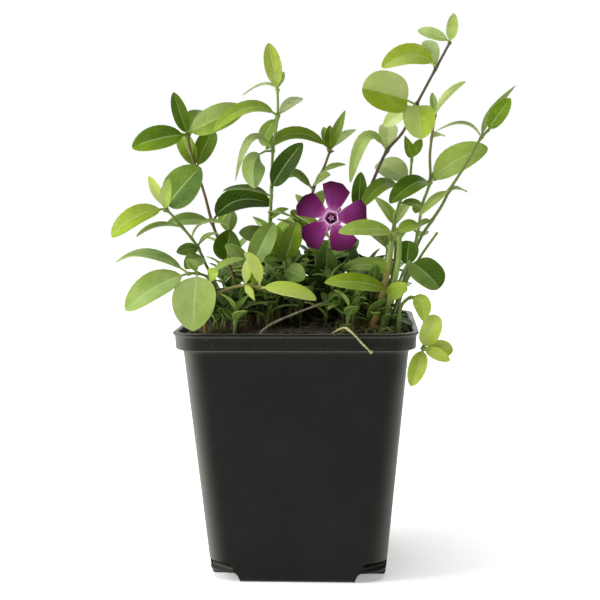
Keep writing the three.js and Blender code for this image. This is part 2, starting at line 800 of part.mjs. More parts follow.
const FLOWER_CENTRE = [13, -22, 136];
const FLOWER_FACES = [0, -1, 0.12];
const PETALS = 5;
const PETAL_FIRST_TURN = 80;
const TUBE_LENGTH = 10;
const TUBE_SIDES = 15;
const CUP_LENGTH = 1.2;
const CUP_SIDES = 10;
const SEPAL_LENGTH = 5;
const SEPAL_WIDTH = 1.4;
const ANTHER_RADIUS = 0.45;
const ANTHER_RING = 0.75;

// Distance from the eye and half width of a petal, from claw to end

const PETAL_OUTLINE = [[2.6, 1.3], [5, 2.2], [7.5, 3.6], [10, 4.8], [12.2, 5.3], [13.4, 4.2]];
const PETAL_BROADEST = 12;
const PETAL_SKEW = 0.12;
const PETAL_TWIST = 0.1;
const PETAL_DISH = 0.008;
const PETAL_SET_BACK = 0.5;
const PETAL_END_ROUND = 0.7;

function flowerFrame() {
  const out = vec(FLOWER_FACES).normalize();
  const right = new THREE.Vector3(1, 0, 0);
  const up = out.clone().cross(right);
  return new THREE.Matrix4().makeBasis(right, up, out).setPosition(vec(FLOWER_CENTRE));
}

function latheSolid(profile, segments) {
  const geometry = new THREE.LatheGeometry(profile.map(([r, z]) => new THREE.Vector2(r, z)), segments);
  geometry.rotateX(Math.PI / 2);
  return solidOf(mergedFacingOut(geometry));
}

function petalSolid(turn) {
  const grid = PETAL_OUTLINE.map(([reach, half]) => [-1, -0.4, 0.4, 1].map((share) => {
    const across = share * half;
    const rounded = reach > PETAL_BROADEST ? PETAL_END_ROUND * share ** 2 : 0;
    const along = reach + PETAL_SKEW * across - rounded;
    const height = PETAL_TWIST * across + PETAL_DISH * reach ** 2 - PETAL_SET_BACK;
    return new THREE.Vector3(along, across, height);
  }));
  const out = new THREE.Vector3(0, 0, 1);
  const geometry = sheet(grid, grid.map((row) => row.map(() => out)), PETAL_THICK);
  geometry.rotateZ(turn);
  return solidOf(geometry);
}

function corollaSolid() {
  const tube = latheSolid([
    [0, -TUBE_LENGTH], [1.1, -TUBE_LENGTH], [1.3, -5], [2.1, -2.2], [4.2, -0.8], [4.2, 0.1], [3.2, 0.35],
    [1.9, -1.2], [1.4, -3.5], [0, -3.8],
  ], TUBE_SIDES);
  const petals = [];
  for (let k = 0; k < PETALS; k += 1) {
    petals.push(petalSolid(THREE.MathUtils.degToRad(PETAL_FIRST_TURN + k * 360 / PETALS)));
  }
  return joined([tube, ...petals]).transform(flowerFrame().toArray());
}

// Style with five small anthers folded over it, in the throat

function eyeSolid() {
  const style = latheSolid([[0, -3.45], [0.6, -3.4], [0.6, -1.5], [0.8, -1], [0.5, -0.4], [0, -0.3]], 8);
  const anthers = [];
  for (let k = 0; k < PETALS; k += 1) {
    const turn = (k + 0.5) / PETALS * Math.PI * 2;
    const anther = new THREE.SphereGeometry(ANTHER_RADIUS, 5, 3);
    anther.translate(ANTHER_RING * Math.cos(turn), ANTHER_RING * Math.sin(turn), -0.85);
    anthers.push(solidOf(anther));
  }
  return joined([style, ...anthers]).transform(flowerFrame().toArray());
}

// Calyx: a small cup round the end of the tube, with five narrow sepals

function calyxSolid() {
  const back = -TUBE_LENGTH - GAP;
  const cup = latheSolid([
    [0, back - CUP_LENGTH], [1, back - CUP_LENGTH], [2.1, back], [2.2, back + 1.4], [1.6, back + 1.4],
    [1.5, back], [0, back],
  ], CUP_SIDES);
  const sepals = [];
  for (let k = 0; k < PETALS; k += 1) {
    const turn = (k + 0.25) / PETALS * Math.PI * 2;
    const at = (r, z) => [r * Math.cos(turn), r * Math.sin(turn), z];
    const outwards = at(1, 0);
    const sepal = leaf(0, at(3.4, back + 1 + SEPAL_LENGTH), SEPAL_WIDTH, outwards, { outline: PLAIN });
    sepals.push(leafSolid(vec(at(1.85, back + 1)), sepal));
  }
  return joined([cup, ...sepals]).transform(flowerFrame().toArray());
}

// The whole plant in its pot

const leafyShoots = [...SHOOTS, ...farShoots, ...frontSprouts, ...DEAD_STALKS];
const group = new THREE.Group();
group.add(meshOf('pot', makePot(), BLACK_PLASTIC, 0.45));
group.add(meshOf('soil', makeSoil(leafyShoots.map((shoot) => shoot.root)), COMPOST, 0.95));
for (const shoot of leafyShoots) {
  const solid = shootSolid(shoot);
  const grown = shoot.name === 'flowering_shoot' ? solid.add(calyxSolid()) : solid;
  group.add(meshOf(shoot.name, grown, shoot.colour));
}
group.add(meshOf('flower_corolla', corollaSolid(), PETAL_PURPLE));
group.add(meshOf('flower_eye', eyeSolid(), EYE_MAROON));

export default group;
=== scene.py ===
# %% [markdown]
# # A lesser periwinkle in its nursery pot
#
# A young creeping plant with leathery leaves in pairs, thin wiry stems and one purple flower, in a square
# black plastic pot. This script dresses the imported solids: it takes each one's place and size, and builds a
# finer piece there, with veins, crumbs, scuffs and procedural colour. Run the cells from top to bottom.

# %% Load the solids
import math
import random

import bmesh
import bpy
import numpy as np
from mathutils import Matrix, Vector, noise


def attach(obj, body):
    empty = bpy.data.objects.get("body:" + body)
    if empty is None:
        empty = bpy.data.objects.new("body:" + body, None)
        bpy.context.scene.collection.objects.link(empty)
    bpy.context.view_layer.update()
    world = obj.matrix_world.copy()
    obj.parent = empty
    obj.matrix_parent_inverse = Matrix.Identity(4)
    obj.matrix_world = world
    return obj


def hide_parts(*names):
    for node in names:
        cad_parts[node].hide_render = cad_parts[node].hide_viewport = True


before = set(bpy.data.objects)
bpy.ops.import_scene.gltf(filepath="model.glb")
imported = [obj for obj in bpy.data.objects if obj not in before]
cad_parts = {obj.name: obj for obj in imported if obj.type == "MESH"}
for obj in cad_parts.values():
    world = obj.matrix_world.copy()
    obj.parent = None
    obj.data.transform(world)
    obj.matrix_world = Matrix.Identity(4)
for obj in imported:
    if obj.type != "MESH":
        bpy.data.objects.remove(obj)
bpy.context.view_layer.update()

# %% [markdown]
# ## Sizes
#
# Blender works in metres, but a plant is easier to think of in millimetres. Every size below is in
# millimetres, and a mesh is scaled once, when its piece is made. The names and numbers match the solids.
# The last four names are directions, for the way that the upper face of a leaf looks.

# %% Sizes of the pot, the soil and the plant
MM = 0.001
POT_HEIGHT = 95
FOOT_HALF = 33
BODY_HALF = 42.2
COLLAR_HALF = 44.2
LIP_HALF = 45.2
COLLAR_HEIGHT = 6.4
BODY_CORNER = 9
COLLAR_CORNER = BODY_CORNER + 1.6
WALL = 1.3
CORNER_RISE = 3.6
WINDOW_TOP = 7.6
FOOT_ARM_HALF = 22.5
SOIL_EDGE = 92
SOIL_RISE = 3.4
SOIL_BUMP = 0.7
ROOT_DEPTH = 9
STEM_RADIUS = 0.7
LEDGE = POT_HEIGHT - COLLAR_HEIGHT
FRONT = (0, -1, 0.3)
TILTED = (0, -1, 1)
UP = (0, -0.3, 1)
BACK = (0, 1, 0.3)
print("pot", 2 * LIP_HALF, "mm across the lip and", POT_HEIGHT, "mm tall")

# %% [markdown]
# ## The camera
#
# The photograph was taken from about half a metre away, a little above the rim of the pot, with the pot
# turned three degrees. A camera's own axes are easiest to give as a matrix: where right, up and back point.

# %% Camera
CAMERA_DISTANCE = 500
CAMERA_HEIGHT = 150
CAMERA_TURN = math.radians(3)
CAMERA_PITCH = math.radians(5.35)
CAMERA_ROLL = math.radians(-0.37)
LENS = 76.74


def make_camera():
    data = bpy.data.cameras.new("camera")
    data.lens = LENS
    data.sensor_width = 36
    data.clip_start = 0.02
    camera = bpy.data.objects.new("camera", data)
    place = Vector((math.sin(CAMERA_TURN), -math.cos(CAMERA_TURN), 0)) * CAMERA_DISTANCE
    place.z = CAMERA_HEIGHT
    tilt = Matrix.Rotation(math.pi / 2 - CAMERA_PITCH, 4, "X")
    turned = Matrix.Rotation(CAMERA_TURN, 4, "Z") @ tilt @ Matrix.Rotation(CAMERA_ROLL, 4, "Z")
    camera.matrix_world = Matrix.Translation(place * MM) @ turned
    bpy.context.scene.collection.objects.link(camera)
    bpy.context.scene.camera = camera
    return camera


camera = make_camera()
print("camera at", [round(v, 3) for v in camera.matrix_world.translation])

# %% [markdown]
# ## Helpers for meshes
#
# A leafy shoot is a stem and up to thirteen leaves in one mesh. `Gather` collects such parts: points, faces,
# which finish each face has, and a few numbers painted on the points, such as how far a point is from the
# rib of its leaf. Materials read these numbers later, so one leaf material serves every leaf.

# %% Gathering parts into one mesh
PAINTED = ("across", "along", "light", "bloom", "age", "warm")


class Gather:
    """Points, faces and painted numbers of one piece."""

    def __init__(self):
        self.points = []
        self.faces = []
        self.finish = []
        self.painted = {name: [] for name in PAINTED}

    def add(self, points, faces, finish=0, **painted):
        first = len(self.points)
        self.points.extend(tuple(p) for p in points)
        self.faces.extend(tuple(first + i for i in face) for face in faces)
        self.finish.extend(finish if isinstance(finish, list) else [finish] * len(faces))
        for name, values in self.painted.items():
            given = painted.get(name, 0.0)
            values.extend(given if hasattr(given, "__len__") else [given] * len(points))


def make_piece(name, gathered, materials, sharp=40, stage=False):
    """Turns what was gathered into an object in metres that rides on the part's one body."""
    mesh = bpy.data.meshes.new(name)
    mesh.from_pydata([tuple(v * MM for v in p) for p in gathered.points], [], gathered.faces)
    mesh.polygons.foreach_set("material_index", gathered.finish)
    for painted, values in gathered.painted.items():
        if any(values):
            attribute = mesh.attributes.new(painted, "FLOAT", "POINT")
            attribute.data.foreach_set("value", values)
    for material in materials:
        mesh.materials.append(material)
    smooth_below(mesh, sharp)
    piece = bpy.data.objects.new(name, mesh)
    bpy.context.scene.collection.objects.link(piece)
    if stage:
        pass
    else:
        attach(piece, "root")
    return piece


def smooth_below(mesh, angle):
    """Shades the mesh smooth, apart from edges that turn by more than an angle."""
    work = bmesh.new()
    work.from_mesh(mesh)
    for face in work.faces:
        face.smooth = True
    for edge in work.edges:
        edge.smooth = edge.is_manifold and edge.calc_face_angle(0) < math.radians(angle)
    work.to_mesh(mesh)
    work.free()


def unit(v):
    """The same direction, with a length of one."""
    return v / max(np.linalg.norm(v), 1e-9)


def smooth_step(x, low, high):
    """Rises gently from 0 at low to 1 at high."""
    t = np.clip((x - low) / (high - low), 0, 1)
    return t * t * (3 - 2 * t)


# %% [markdown]
# ### Faces between points
#
# A face is a list of point numbers, so a mesh can be made by counting. Rings of points are joined into a
# loft, a grid of points into a sheet, and two grids with a rim between them into a closed shell.

# %% Lofts, grids and shells
def loft_faces(rings, around, closed_ends=True):
    """Faces through rings of equally many points, given one after another."""
    faces = []
    for i in range(rings - 1):
        for j in range(around):
            a, b = i * around + j, i * around + (j + 1) % around
            faces.append((a, b, b + around, a + around))
    if closed_ends:
        faces.append(tuple(reversed(range(around))))
        faces.append(tuple((rings - 1) * around + j for j in range(around)))
    return faces


def grid_faces(rows, columns):
    """Faces of a grid of points, given row by row."""
    return [(a, a + columns, a + columns + 1, a + 1)
            for i in range(rows - 1) for a in range(i * columns, (i + 1) * columns - 1)]


def grid_edge(rows, columns):
    """The points along the edge of such a grid, in order."""
    edge = list(range(columns - 1))
    edge += [i * columns + columns - 1 for i in range(rows - 1)]
    edge += [(rows - 1) * columns + j for j in range(columns - 1, 0, -1)]
    return edge + [i * columns for i in range(rows - 1, 0, -1)]


def shell_faces(rows, columns):
    """Faces of a closed shell: an upper grid, a lower grid after it, and the rim between them."""
    below = rows * columns
    grid = grid_faces(rows, columns)
    upper = [(a, d, c, b) for a, b, c, d in grid]
    lower = [tuple(below + k for k in (b, c, d, a)) for a, b, c, d in grid]
    edge = grid_edge(rows, columns)
    rim = [(b, a, a + below, b + below) for a, b in zip(edge, edge[1:] + edge[:1])]
    return upper, lower, rim


# %% [markdown]
# ## Helpers for materials
#
# Each material is a small graph. `Graph` makes nodes by their Blender name and links them in one line, so
# that the recipe can be read from top to bottom. A node group is made once and used by several materials.

# %% A short way to write node graphs
class Graph:
    """Adds nodes to a tree: values become socket defaults, and sockets become links."""

    def __init__(self, tree):
        self.tree = tree

    def node(self, kind, settings=None, **inputs):
        made = self.tree.nodes.new("ShaderNode" + kind)
        for name, value in (settings or {}).items():
            setattr(made, name, value)
        for name, value in inputs.items():
            self.put(made, name.replace("_", " "), value)
        return made

    def put(self, node, name, value):
        """Fills an input, which is given by its name or, as i0 or i6, by its number."""
        socket = node.inputs[int(name[1:])] if name[0] == "i" and name[1:].isdigit() else node.inputs[name]
        if isinstance(value, bpy.types.NodeSocket):
            self.tree.links.new(value, socket)
        else:
            socket.default_value = rgb(value) if isinstance(value, str) else value

    def give(self, sockets, **results):
        for name, value in results.items():
            self.tree.links.new(value, sockets[name])

    def group(self, tree, **inputs):
        return self.node("Group", {"node_tree": tree}, **inputs).outputs

    def maths(self, operation, a, b=0.0, clamp=False):
        made = self.node("Math", {"operation": operation, "use_clamp": clamp}, i0=a, i1=b)
        return made.outputs[0]

    def mix(self, share, a, b, blend="MIX"):
        made = self.node("Mix", {"data_type": "RGBA", "blend_type": blend}, i0=share, i6=a, i7=b)
        return made.outputs[2]

    def between(self, value, low, high, to_low=0.0, to_high=1.0, smooth=True):
        kind = "SMOOTHSTEP" if smooth else "LINEAR"
        made = self.node("MapRange", {"interpolation_type": kind}, Value=value, From_Min=low,
                         From_Max=high, To_Min=to_low, To_Max=to_high)
        return made.outputs[0]

    def noise(self, scale, detail=3.0, rough=0.5, at=None):
        made = self.node("TexNoise", Scale=scale, Detail=detail, Roughness=rough)
        self.put(made, "Vector", at or self.place())
        return made.outputs["Fac"]

    def vary(self, value, pattern, amount, clamp=False):
        """A value pushed up and down by a noise, whose middle is a half."""
        push = self.maths("MULTIPLY", self.maths("SUBTRACT", pattern, 0.5), amount)
        return self.maths("ADD", value, push, clamp)

    def place(self):
        return self.node("TexCoord").outputs["Object"]

    def drawn_out(self, share):
        """Places squeezed along the height: a noise that is read there runs in upright lines."""
        return self.node("Mapping", Vector=self.place(), Scale=(1.0, 1.0, share)).outputs[0]

    def painted(self, name):
        return self.node("Attribute", {"attribute_name": name}).outputs["Fac"]

    def ramp(self, value, stops):
        made = self.node("ValToRGB", Fac=value)
        elements = made.color_ramp.elements
        while len(elements) < len(stops):
            elements.new(0.5)
        for element, (at, colour) in zip(elements, stops):
            element.position = at
            element.color = rgb(colour)
        return made.outputs["Color"]


# %% [markdown]
# ### Colours, groups and materials
#
# Colours are written as in a paint program and turned into linear light. A group has named inputs and
# outputs. A material keeps one Principled shader: what never changes is set on the shader's own sockets,
# and only what varies over the surface comes through nodes.

# %% Colours, groups and materials
def rgb(code):
    """A colour as a web designer writes it, turned into the linear light that Blender mixes."""
    parts = [int(code[i:i + 2], 16) / 255 for i in (1, 3, 5)]
    return tuple(c / 12.92 if c < 0.04045 else ((c + 0.055) / 1.055) ** 2.4 for c in parts) + (1.0,)


def make_group(name, inputs, outputs):
    """An empty node group with float inputs and outputs; a name that ends in Colour is a colour."""
    tree = bpy.data.node_groups.new(name, "ShaderNodeTree")
    for direction, names in (("INPUT", inputs), ("OUTPUT", outputs)):
        for socket in names:
            kind = "NodeSocketColor" if socket.endswith("Colour") else "NodeSocketFloat"
            tree.interface.new_socket(name=socket, in_out=direction, socket_type=kind)
    source, sink = tree.nodes.new("NodeGroupInput"), tree.nodes.new("NodeGroupOutput")
    return tree, Graph(tree), source.outputs, sink.inputs


def start_material(name, **constants):
    """A material with one Principled shader. Numbers that don't vary are set on its own sockets."""
    material = bpy.data.materials.new(name)
    material.use_nodes = True
    graph = Graph(material.node_tree)
    shader = material.node_tree.nodes["Principled BSDF"]
    for socket, value in constants.items():
        shader.inputs[socket.replace("_", " ")].default_value = value
    return material, graph, shader


def finish_material(graph, shader, colour, roughness, height=None, depth=0.1):
    graph.put(shader, "Base Color", colour)
    graph.put(shader, "Roughness", roughness)
    if height is not None:
        bump = graph.node("Bump", Strength=1.0, Distance=depth * MM, Height=height)
        graph.put(shader, "Normal", bump.outputs["Normal"])


# %% [markdown]
# ## Leaf finish
#
# A periwinkle leaf is leathery. Its rib is pale, a few side veins slant towards the tip, and the tissue
# between them is mottled. Old leaves are dark green, young ones yellow-green, and from below they are
# paler and greyer. Two painted numbers say where a leaf stands: `light` from old to young and `bloom` from
# green to grey. A group turns them into a colour, a roughness and a height for the bump.

# %% Leaf group
GREENS = [(0.0, "#2a4006"), (0.2, "#43600a"), (0.4, "#65800f"), (0.65, "#8ba12a"), (0.85, "#a7b751"),
          (1.0, "#c0cb77")]
GREYS = [(0.0, "#304425"), (0.25, "#57713c"), (0.5, "#849a5e"), (0.75, "#aebb86"), (1.0, "#d0d7b0")]
PALE_RIB = "#bccb8c"
PALE_MARGIN_GLOW = "#9aab50"
SIDE_VEINS = 9.0
VEIN_SLANT = 0.34


def side_veins(g, along, side):
    """A mask of slanting veins, which fade towards the margin."""
    slanted = g.maths("SUBTRACT", along, g.maths("MULTIPLY", side, VEIN_SLANT))
    wave = g.maths("FRACT", g.maths("MULTIPLY", slanted, SIDE_VEINS))
    off_vein = g.maths("ABSOLUTE", g.maths("SUBTRACT", wave, 0.5))
    vein = g.between(off_vein, 0.0, 0.13, 1.0, 0.0)
    return g.maths("MULTIPLY", vein, g.between(side, 0.55, 0.95, 1.0, 0.0))


def middle_rib(g, along, side):
    """A mask of the rib, which narrows and fades towards the tip."""
    width = g.between(along, 0.0, 1.0, 0.12, 0.04, False)
    rib = g.between(g.maths("DIVIDE", side, width), 0.35, 1.0, 1.0, 0.0)
    return g.maths("MULTIPLY", rib, g.between(along, 0.86, 1.0, 1.0, 0.1))


def make_leaf_group():
    tree, g, given, out = make_group("leaf tissue", ["Across", "Along", "Light", "Bloom"],
                                     ["Colour", "Roughness", "Height"])
    side = g.maths("ABSOLUTE", given["Across"])
    mottle = g.noise(420, 2.0, 0.5)
    patches = g.noise(95, 2.0)
    light = g.vary(g.vary(given["Light"], mottle, 0.16), patches, 0.24, True)
    bloom = g.vary(given["Bloom"], patches, 0.3, True)
    vein = side_veins(g, given["Along"], side)
    rib = middle_rib(g, given["Along"], side)
    colour = g.mix(bloom, g.ramp(light, GREENS), g.ramp(light, GREYS))
    colour = g.mix(g.maths("MULTIPLY", vein, 0.07), colour, PALE_RIB)
    colour = g.mix(g.maths("MULTIPLY", rib, 0.32), colour, PALE_RIB)
    # The pale margin is partly the leaf's own edge and partly painted light: the glow of the thin edge
    # against the light.
    colour = g.mix(g.maths("MULTIPLY", g.between(side, 0.9, 1.0), 0.2), colour, PALE_MARGIN_GLOW)
    rough = g.maths("ADD", g.maths("MULTIPLY", bloom, 0.16), g.maths("MULTIPLY", mottle, 0.16))
    grain = g.maths("MULTIPLY", mottle, 0.35)
    dents = g.maths("ADD", g.maths("MULTIPLY", vein, -0.5), g.maths("MULTIPLY", rib, -0.6))
    g.give(out, Colour=colour, Roughness=g.maths("ADD", rough, 0.3), Height=g.maths("ADD", grain, dents))
    return tree


leaf_group = make_leaf_group()


def make_leaf_material(name, light_shift, bloom_shift, depth):
    """Leaf tissue as seen on one face of the blade."""
    material, g, shader = start_material(name, Specular_IOR_Level=0.06)
    light = g.maths("ADD", g.painted("light"), light_shift, True)
    bloom = g.maths("ADD", g.painted("bloom"), bloom_shift, True)
    made = g.group(leaf_group, Across=g.painted("across"), Along=g.painted("along"), Light=light,
                   Bloom=bloom)
    finish_material(g, shader, made["Colour"], made["Roughness"], made["Height"], depth)
    return material


leaf_top = make_leaf_material("leaf_top", 0.0, 0.0, 0.09)
leaf_below = make_leaf_material("leaf_below", 0.1, 0.3, -0.12)
print("leaf materials", leaf_top.name, leaf_below.name)

# %% [markdown]
# ## Stem finish
#
# Stems are green where young and turn grey-brown or ochre as they grow woody. Fine lines run along them.
# `age` says how brown a stem is, and `warm` how orange that brown is.

# %% Stem group
def make_stem_group():
    tree, g, given, out = make_group("stem bark", ["Age", "Warm"], ["Colour", "Roughness", "Height"])
    lines = g.noise(1500, 3.0, 0.6, g.drawn_out(0.25))
    spots = g.noise(260, 2.0)
    age = g.between(g.vary(given["Age"], spots, 0.5), 0.1, 0.9)
    colour = g.mix(age, "#84a04e", g.mix(given["Warm"], "#574c40", "#96743f"))
    colour = g.mix(g.maths("MULTIPLY", lines, 0.5), colour, "#57534a", "MULTIPLY")
    g.give(out, Colour=colour, Roughness=g.between(lines, 0.2, 0.8, 0.42, 0.7), Height=lines)
    return tree


stem_group = make_stem_group()


def make_stem_material():
    material, g, shader = start_material("stem", Subsurface_Weight=0.15, Subsurface_Scale=0.0005,
                                         Subsurface_Radius=(0.8, 0.9, 0.4), Specular_IOR_Level=0.2)
    made = g.group(stem_group, Age=g.painted("age"), Warm=g.painted("warm"))
    finish_material(g, shader, made["Colour"], made["Roughness"], made["Height"], 0.06)
    return material


stem_finish = make_stem_material()
LEAFY = [stem_finish, leaf_top, leaf_below]
STEM, TOP, BELOW = 0, 1, 2
print("finishes of a shoot", [made.name for made in LEAFY])

# %% [markdown]
# ## Stems
#
# The solids' stems follow a smooth curve through a few points. The same curve is used here, so the finer
# stem lies where the solid one does. A tube is swept along it: thicker at the root, thinner at the end, and
# swollen at each pair of leaves. A stem starts under the soil, so it has to know how high the soil is.

# %% Curve through points
CURVE_STEPS = 24


def smooth_curve(points, count):
    """A centripetal curve through points, cut into count equal lengths."""
    p = [np.array(q, float) for q in points]
    p = [2 * p[0] - p[1]] + p + [2 * p[-1] - p[-2]]
    fine = []
    for i in range(1, len(p) - 2):
        x0, x1, x2, x3 = p[i - 1:i + 3]
        d0, d1, d2 = (np.linalg.norm(b - a) ** 0.5 for a, b in ((x0, x1), (x1, x2), (x2, x3)))
        t1 = ((x1 - x0) / d0 - (x2 - x0) / (d0 + d1) + (x2 - x1) / d1) * d1
        t2 = ((x2 - x1) / d1 - (x3 - x1) / (d1 + d2) + (x3 - x2) / d2) * d1
        for s in np.linspace(0, 1, CURVE_STEPS, endpoint=False):
            fine.append(x1 + t1 * s + (3 * (x2 - x1) - 2 * t1 - t2) * s ** 2
                        + (2 * (x1 - x2) + t1 + t2) * s ** 3)
    fine.append(p[-2])
    fine = np.array(fine)
    run = np.concatenate([[0], np.cumsum(np.linalg.norm(np.diff(fine, axis=0), axis=1))])
    even = np.linspace(0, run[-1], count)
    return np.stack([np.interp(even, run, fine[:, k]) for k in range(3)], axis=1)


# %% Tube along a line
STEM_SIDES = 9


def tube(line, radii, sides=STEM_SIDES):
    """Points and faces of a closed tube round a line."""
    rings = []
    across = unit(np.cross(line[1] - line[0], (0.3, 1, 0.1)))
    for i, p in enumerate(line):
        ahead = unit(line[min(i + 1, len(line) - 1)] - line[max(i - 1, 0)])
        across = unit(across - ahead * across.dot(ahead))
        other = np.cross(ahead, across)
        for k in range(sides):
            angle = 2 * math.pi * k / sides
            rings.append(p + radii[i] * (math.cos(angle) * across + math.sin(angle) * other))
    return rings, loft_faces(len(line), sides)


# %% Height of the soil
def soil_top_at(x, y):
    """The soil as the solid has it: a low mound with a few soft bumps."""
    reach = max(abs(x), abs(y)) / COLLAR_HALF
    mound = SOIL_RISE * (1 - reach ** 2)
    bumps = math.sin(0.55 * x + 1.3) * math.cos(0.47 * y) + 0.6 * math.sin(0.9 * y + 0.35 * x)
    return SOIL_EDGE + mound + SOIL_BUMP * bumps * min(1, 2 - 2 * reach)


# %% Stem out of the soil
POINTS_IN_SOIL = 14
POINTS_PER_STEP = 9


def stem_line(root, path):
    x, y = root
    low = soil_top_at(x, y) - ROOT_DEPTH
    points = [(x, y, low), (x, y, low + ROOT_DEPTH * 0.6), (x, y, low + ROOT_DEPTH + 1), *path]
    return smooth_curve(points, POINTS_IN_SOIL + POINTS_PER_STEP * len(path))


def add_stem(gathered, line, stations, radius, age, warm, browning=1):
    """A stem along a line, which swells at its stations and browns from its root to its end."""
    share = np.linspace(0, 1, len(line))
    radii = radius * (1.12 - 0.42 * share)
    for station in stations:
        off = np.linalg.norm(line - station, axis=1)
        radii = radii * (1 + 0.3 * np.exp(-(off / 1.0) ** 2))
    points, faces = tube(line, radii)
    ages = np.repeat(age[0] + (age[1] - age[0]) * share ** browning, STEM_SIDES)
    gathered.add(points, faces, STEM, age=list(np.clip(ages, 0, 1)), warm=warm)


# %% [markdown]
# ## Leaves
#
# A leaf is a closed shell round a grid. Its rows follow the rib, a curve from the stem to the tip. Its
# columns run across, with the sides lifted a little, so that the leaf is folded like an open book. The shell
# is thick along the rib and thin at the margin, as a real leaf is. Three outlines are enough: pointed,
# round and plain.

# %% Leaf outlines
def pointed(t):
    return np.clip(1 - np.abs(2 * t ** 0.96 - 1) ** 2.1, 0, 1) ** 0.64


def rounded(t):
    return np.clip(1 - np.abs(2 * t - 1) ** 2.4, 0, 1) ** 0.5


def plain(t):
    return np.sin(np.pi * t ** 0.8) ** 0.8


# %% What a leaf is made from
NARROW_WIDTH = 4.1
STALK_HALF = 0.38
TIP_HALF = 0.12
MARGIN_THICKNESS = 0.1
RIB_THICKNESS = 0.16
STALK_THICKNESS = 0.12
GROOVE_DEPTH = 0.07
FINE = (17, np.array([-1, -0.86, -0.6, -0.3, -0.08, 0.08, 0.3, 0.6, 0.86, 1]))
COARSE = (9, np.array([-1, -0.6, -0.1, 0.1, 0.6, 1]))


def leaf(at, tip, width, faces, light, bloom=0.0, **shape):
    """A leaf at a station of its stem. light and bloom set its colour. The split is painted light and shade:
    one half of the blade is lighter and the other darker. The haze is a painted sheen that makes one half
    greyer, and fade makes its tip lighter than its base."""
    made = {"arch": 0.1, "fold": 14, "stalk": 0.1, "via": None, "split": None, "haze": None, "fade": None,
            "wave": 0.03, "outline": plain if width < NARROW_WIDTH else pointed}
    made.update(shape)
    made.update(at=at, tip=tip, width=width, faces=faces, light=light, bloom=bloom)
    return made


def rib_curve(base, spec):
    """Control points of the rib, which is bowed towards the upper face or passes through a given point."""
    tip = np.array(spec["tip"], float)
    middle = (base + tip) / 2
    along = tip - base
    up = np.array(spec["faces"], float)
    up = unit(up - along * up.dot(along) / along.dot(along))
    bowed = middle + up * spec["arch"] * np.linalg.norm(along)
    through = np.array(spec["via"], float) if spec["via"] else bowed
    return base, 2 * through - middle, tip


# %% Growing a leaf
def add_leaf(gathered, base, spec, chance, detail=FINE):
    """Grows a leaf from a point of its stem. Chance adds a wave, a twist and small shifts of colour,
    among them painted shade and painted sheen on the halves.
    """
    a, b, c = rib_curve(base, spec)
    stations, cross = detail
    lift = math.tan(math.radians(spec["fold"]))
    wave_turn = chance.uniform(0, 2 * math.pi)
    twist = chance.uniform(-0.1, 0.1)
    split, haze, fade = (spec[key] if spec[key] is not None else chance.uniform(-most, most)
                         for key, most in (("split", 0.05), ("haze", 0.12), ("fade", 0.07)))
    blade = 0.5 - 0.5 * np.cos(np.linspace(0, math.pi, stations - 2))
    shares = np.concatenate([[0, 0.5 * spec["stalk"]], spec["stalk"] + (1 - spec["stalk"]) * blade])
    widths = np.concatenate([[0, 0], spec["outline"](blade)]) * spec["width"] / 2
    upper, lower = [], []
    for t, wide in zip(shares, widths):
        middle = a * (1 - t) ** 2 + b * 2 * t * (1 - t) + c * t ** 2
        ahead = unit((b - a) * (1 - t) + (c - b) * t)
        up = np.array(spec["faces"], float)
        up = unit(up - ahead * up.dot(ahead))
        side = np.cross(ahead, up)
        up, side = up + side * twist * t, side - up * twist * t
        half = max(wide, STALK_HALF * (1 - t) + TIP_HALF * t)
        for u in cross:
            height = half * lift * (1.25 * abs(u) - 0.25 * u * u)
            height += spec["wave"] * wide * abs(u) ** 3 * math.sin(9 * t + wave_turn + (1.5 if u > 0 else 0))
            groove = GROOVE_DEPTH * math.exp(-(u / 0.16) ** 2) * min(1, wide / 2)
            rib = RIB_THICKNESS * math.exp(-(u * half / 0.5) ** 2)
            thick = MARGIN_THICKNESS + rib + STALK_THICKNESS * (1 - t)
            thick *= min(1, (half + 0.1) / 0.5)
            place = middle + side * u * half + up * height
            upper.append(place + up * (thick - groove))
            lower.append(place - up * thick)
    rows, columns = len(shares), len(cross)
    tops, bottoms, rim = shell_faces(rows, columns)
    across = list(np.tile(cross, rows)) * 2
    along = list(np.repeat(shares, columns)) * 2
    halves = [1 if u > 0 else -1 for u in across]
    # Painted light and shade: one half of the blade lighter, the other darker, as light falls on a fold;
    # painted sheen greys one half.
    light = [spec["light"] + split * h + fade * (2 * t - 1) for h, t in zip(halves, along)]
    bloom = [min(1.0, max(0.0, spec["bloom"] + haze * h)) for h in halves]
    finish = [TOP] * len(tops) + [BELOW] * (len(bottoms) + len(rim))
    gathered.add(upper + lower, tops + bottoms + rim, finish, across=across, along=along,
                 light=[min(1.0, max(0.0, v)) for v in light], bloom=bloom)


# %% Where a leaf sits on its stem
LAST_NODE = 0.7


def station_on(line, path, at):
    """The point of the stem that is nearest to a station; those at the stem's end lie a little below it."""
    points = [np.array(p, float) for p in path]
    low = min(int(at), len(points) - 1)
    high = min(low + 1, len(points) - 1)
    wanted = points[low] + (points[high] - points[low]) * (at - low)
    if low == high and low > 0:
        wanted = wanted - unit(points[low] - points[low - 1]) * LAST_NODE
    return line[np.argmin(np.linalg.norm(line - wanted, axis=1))]
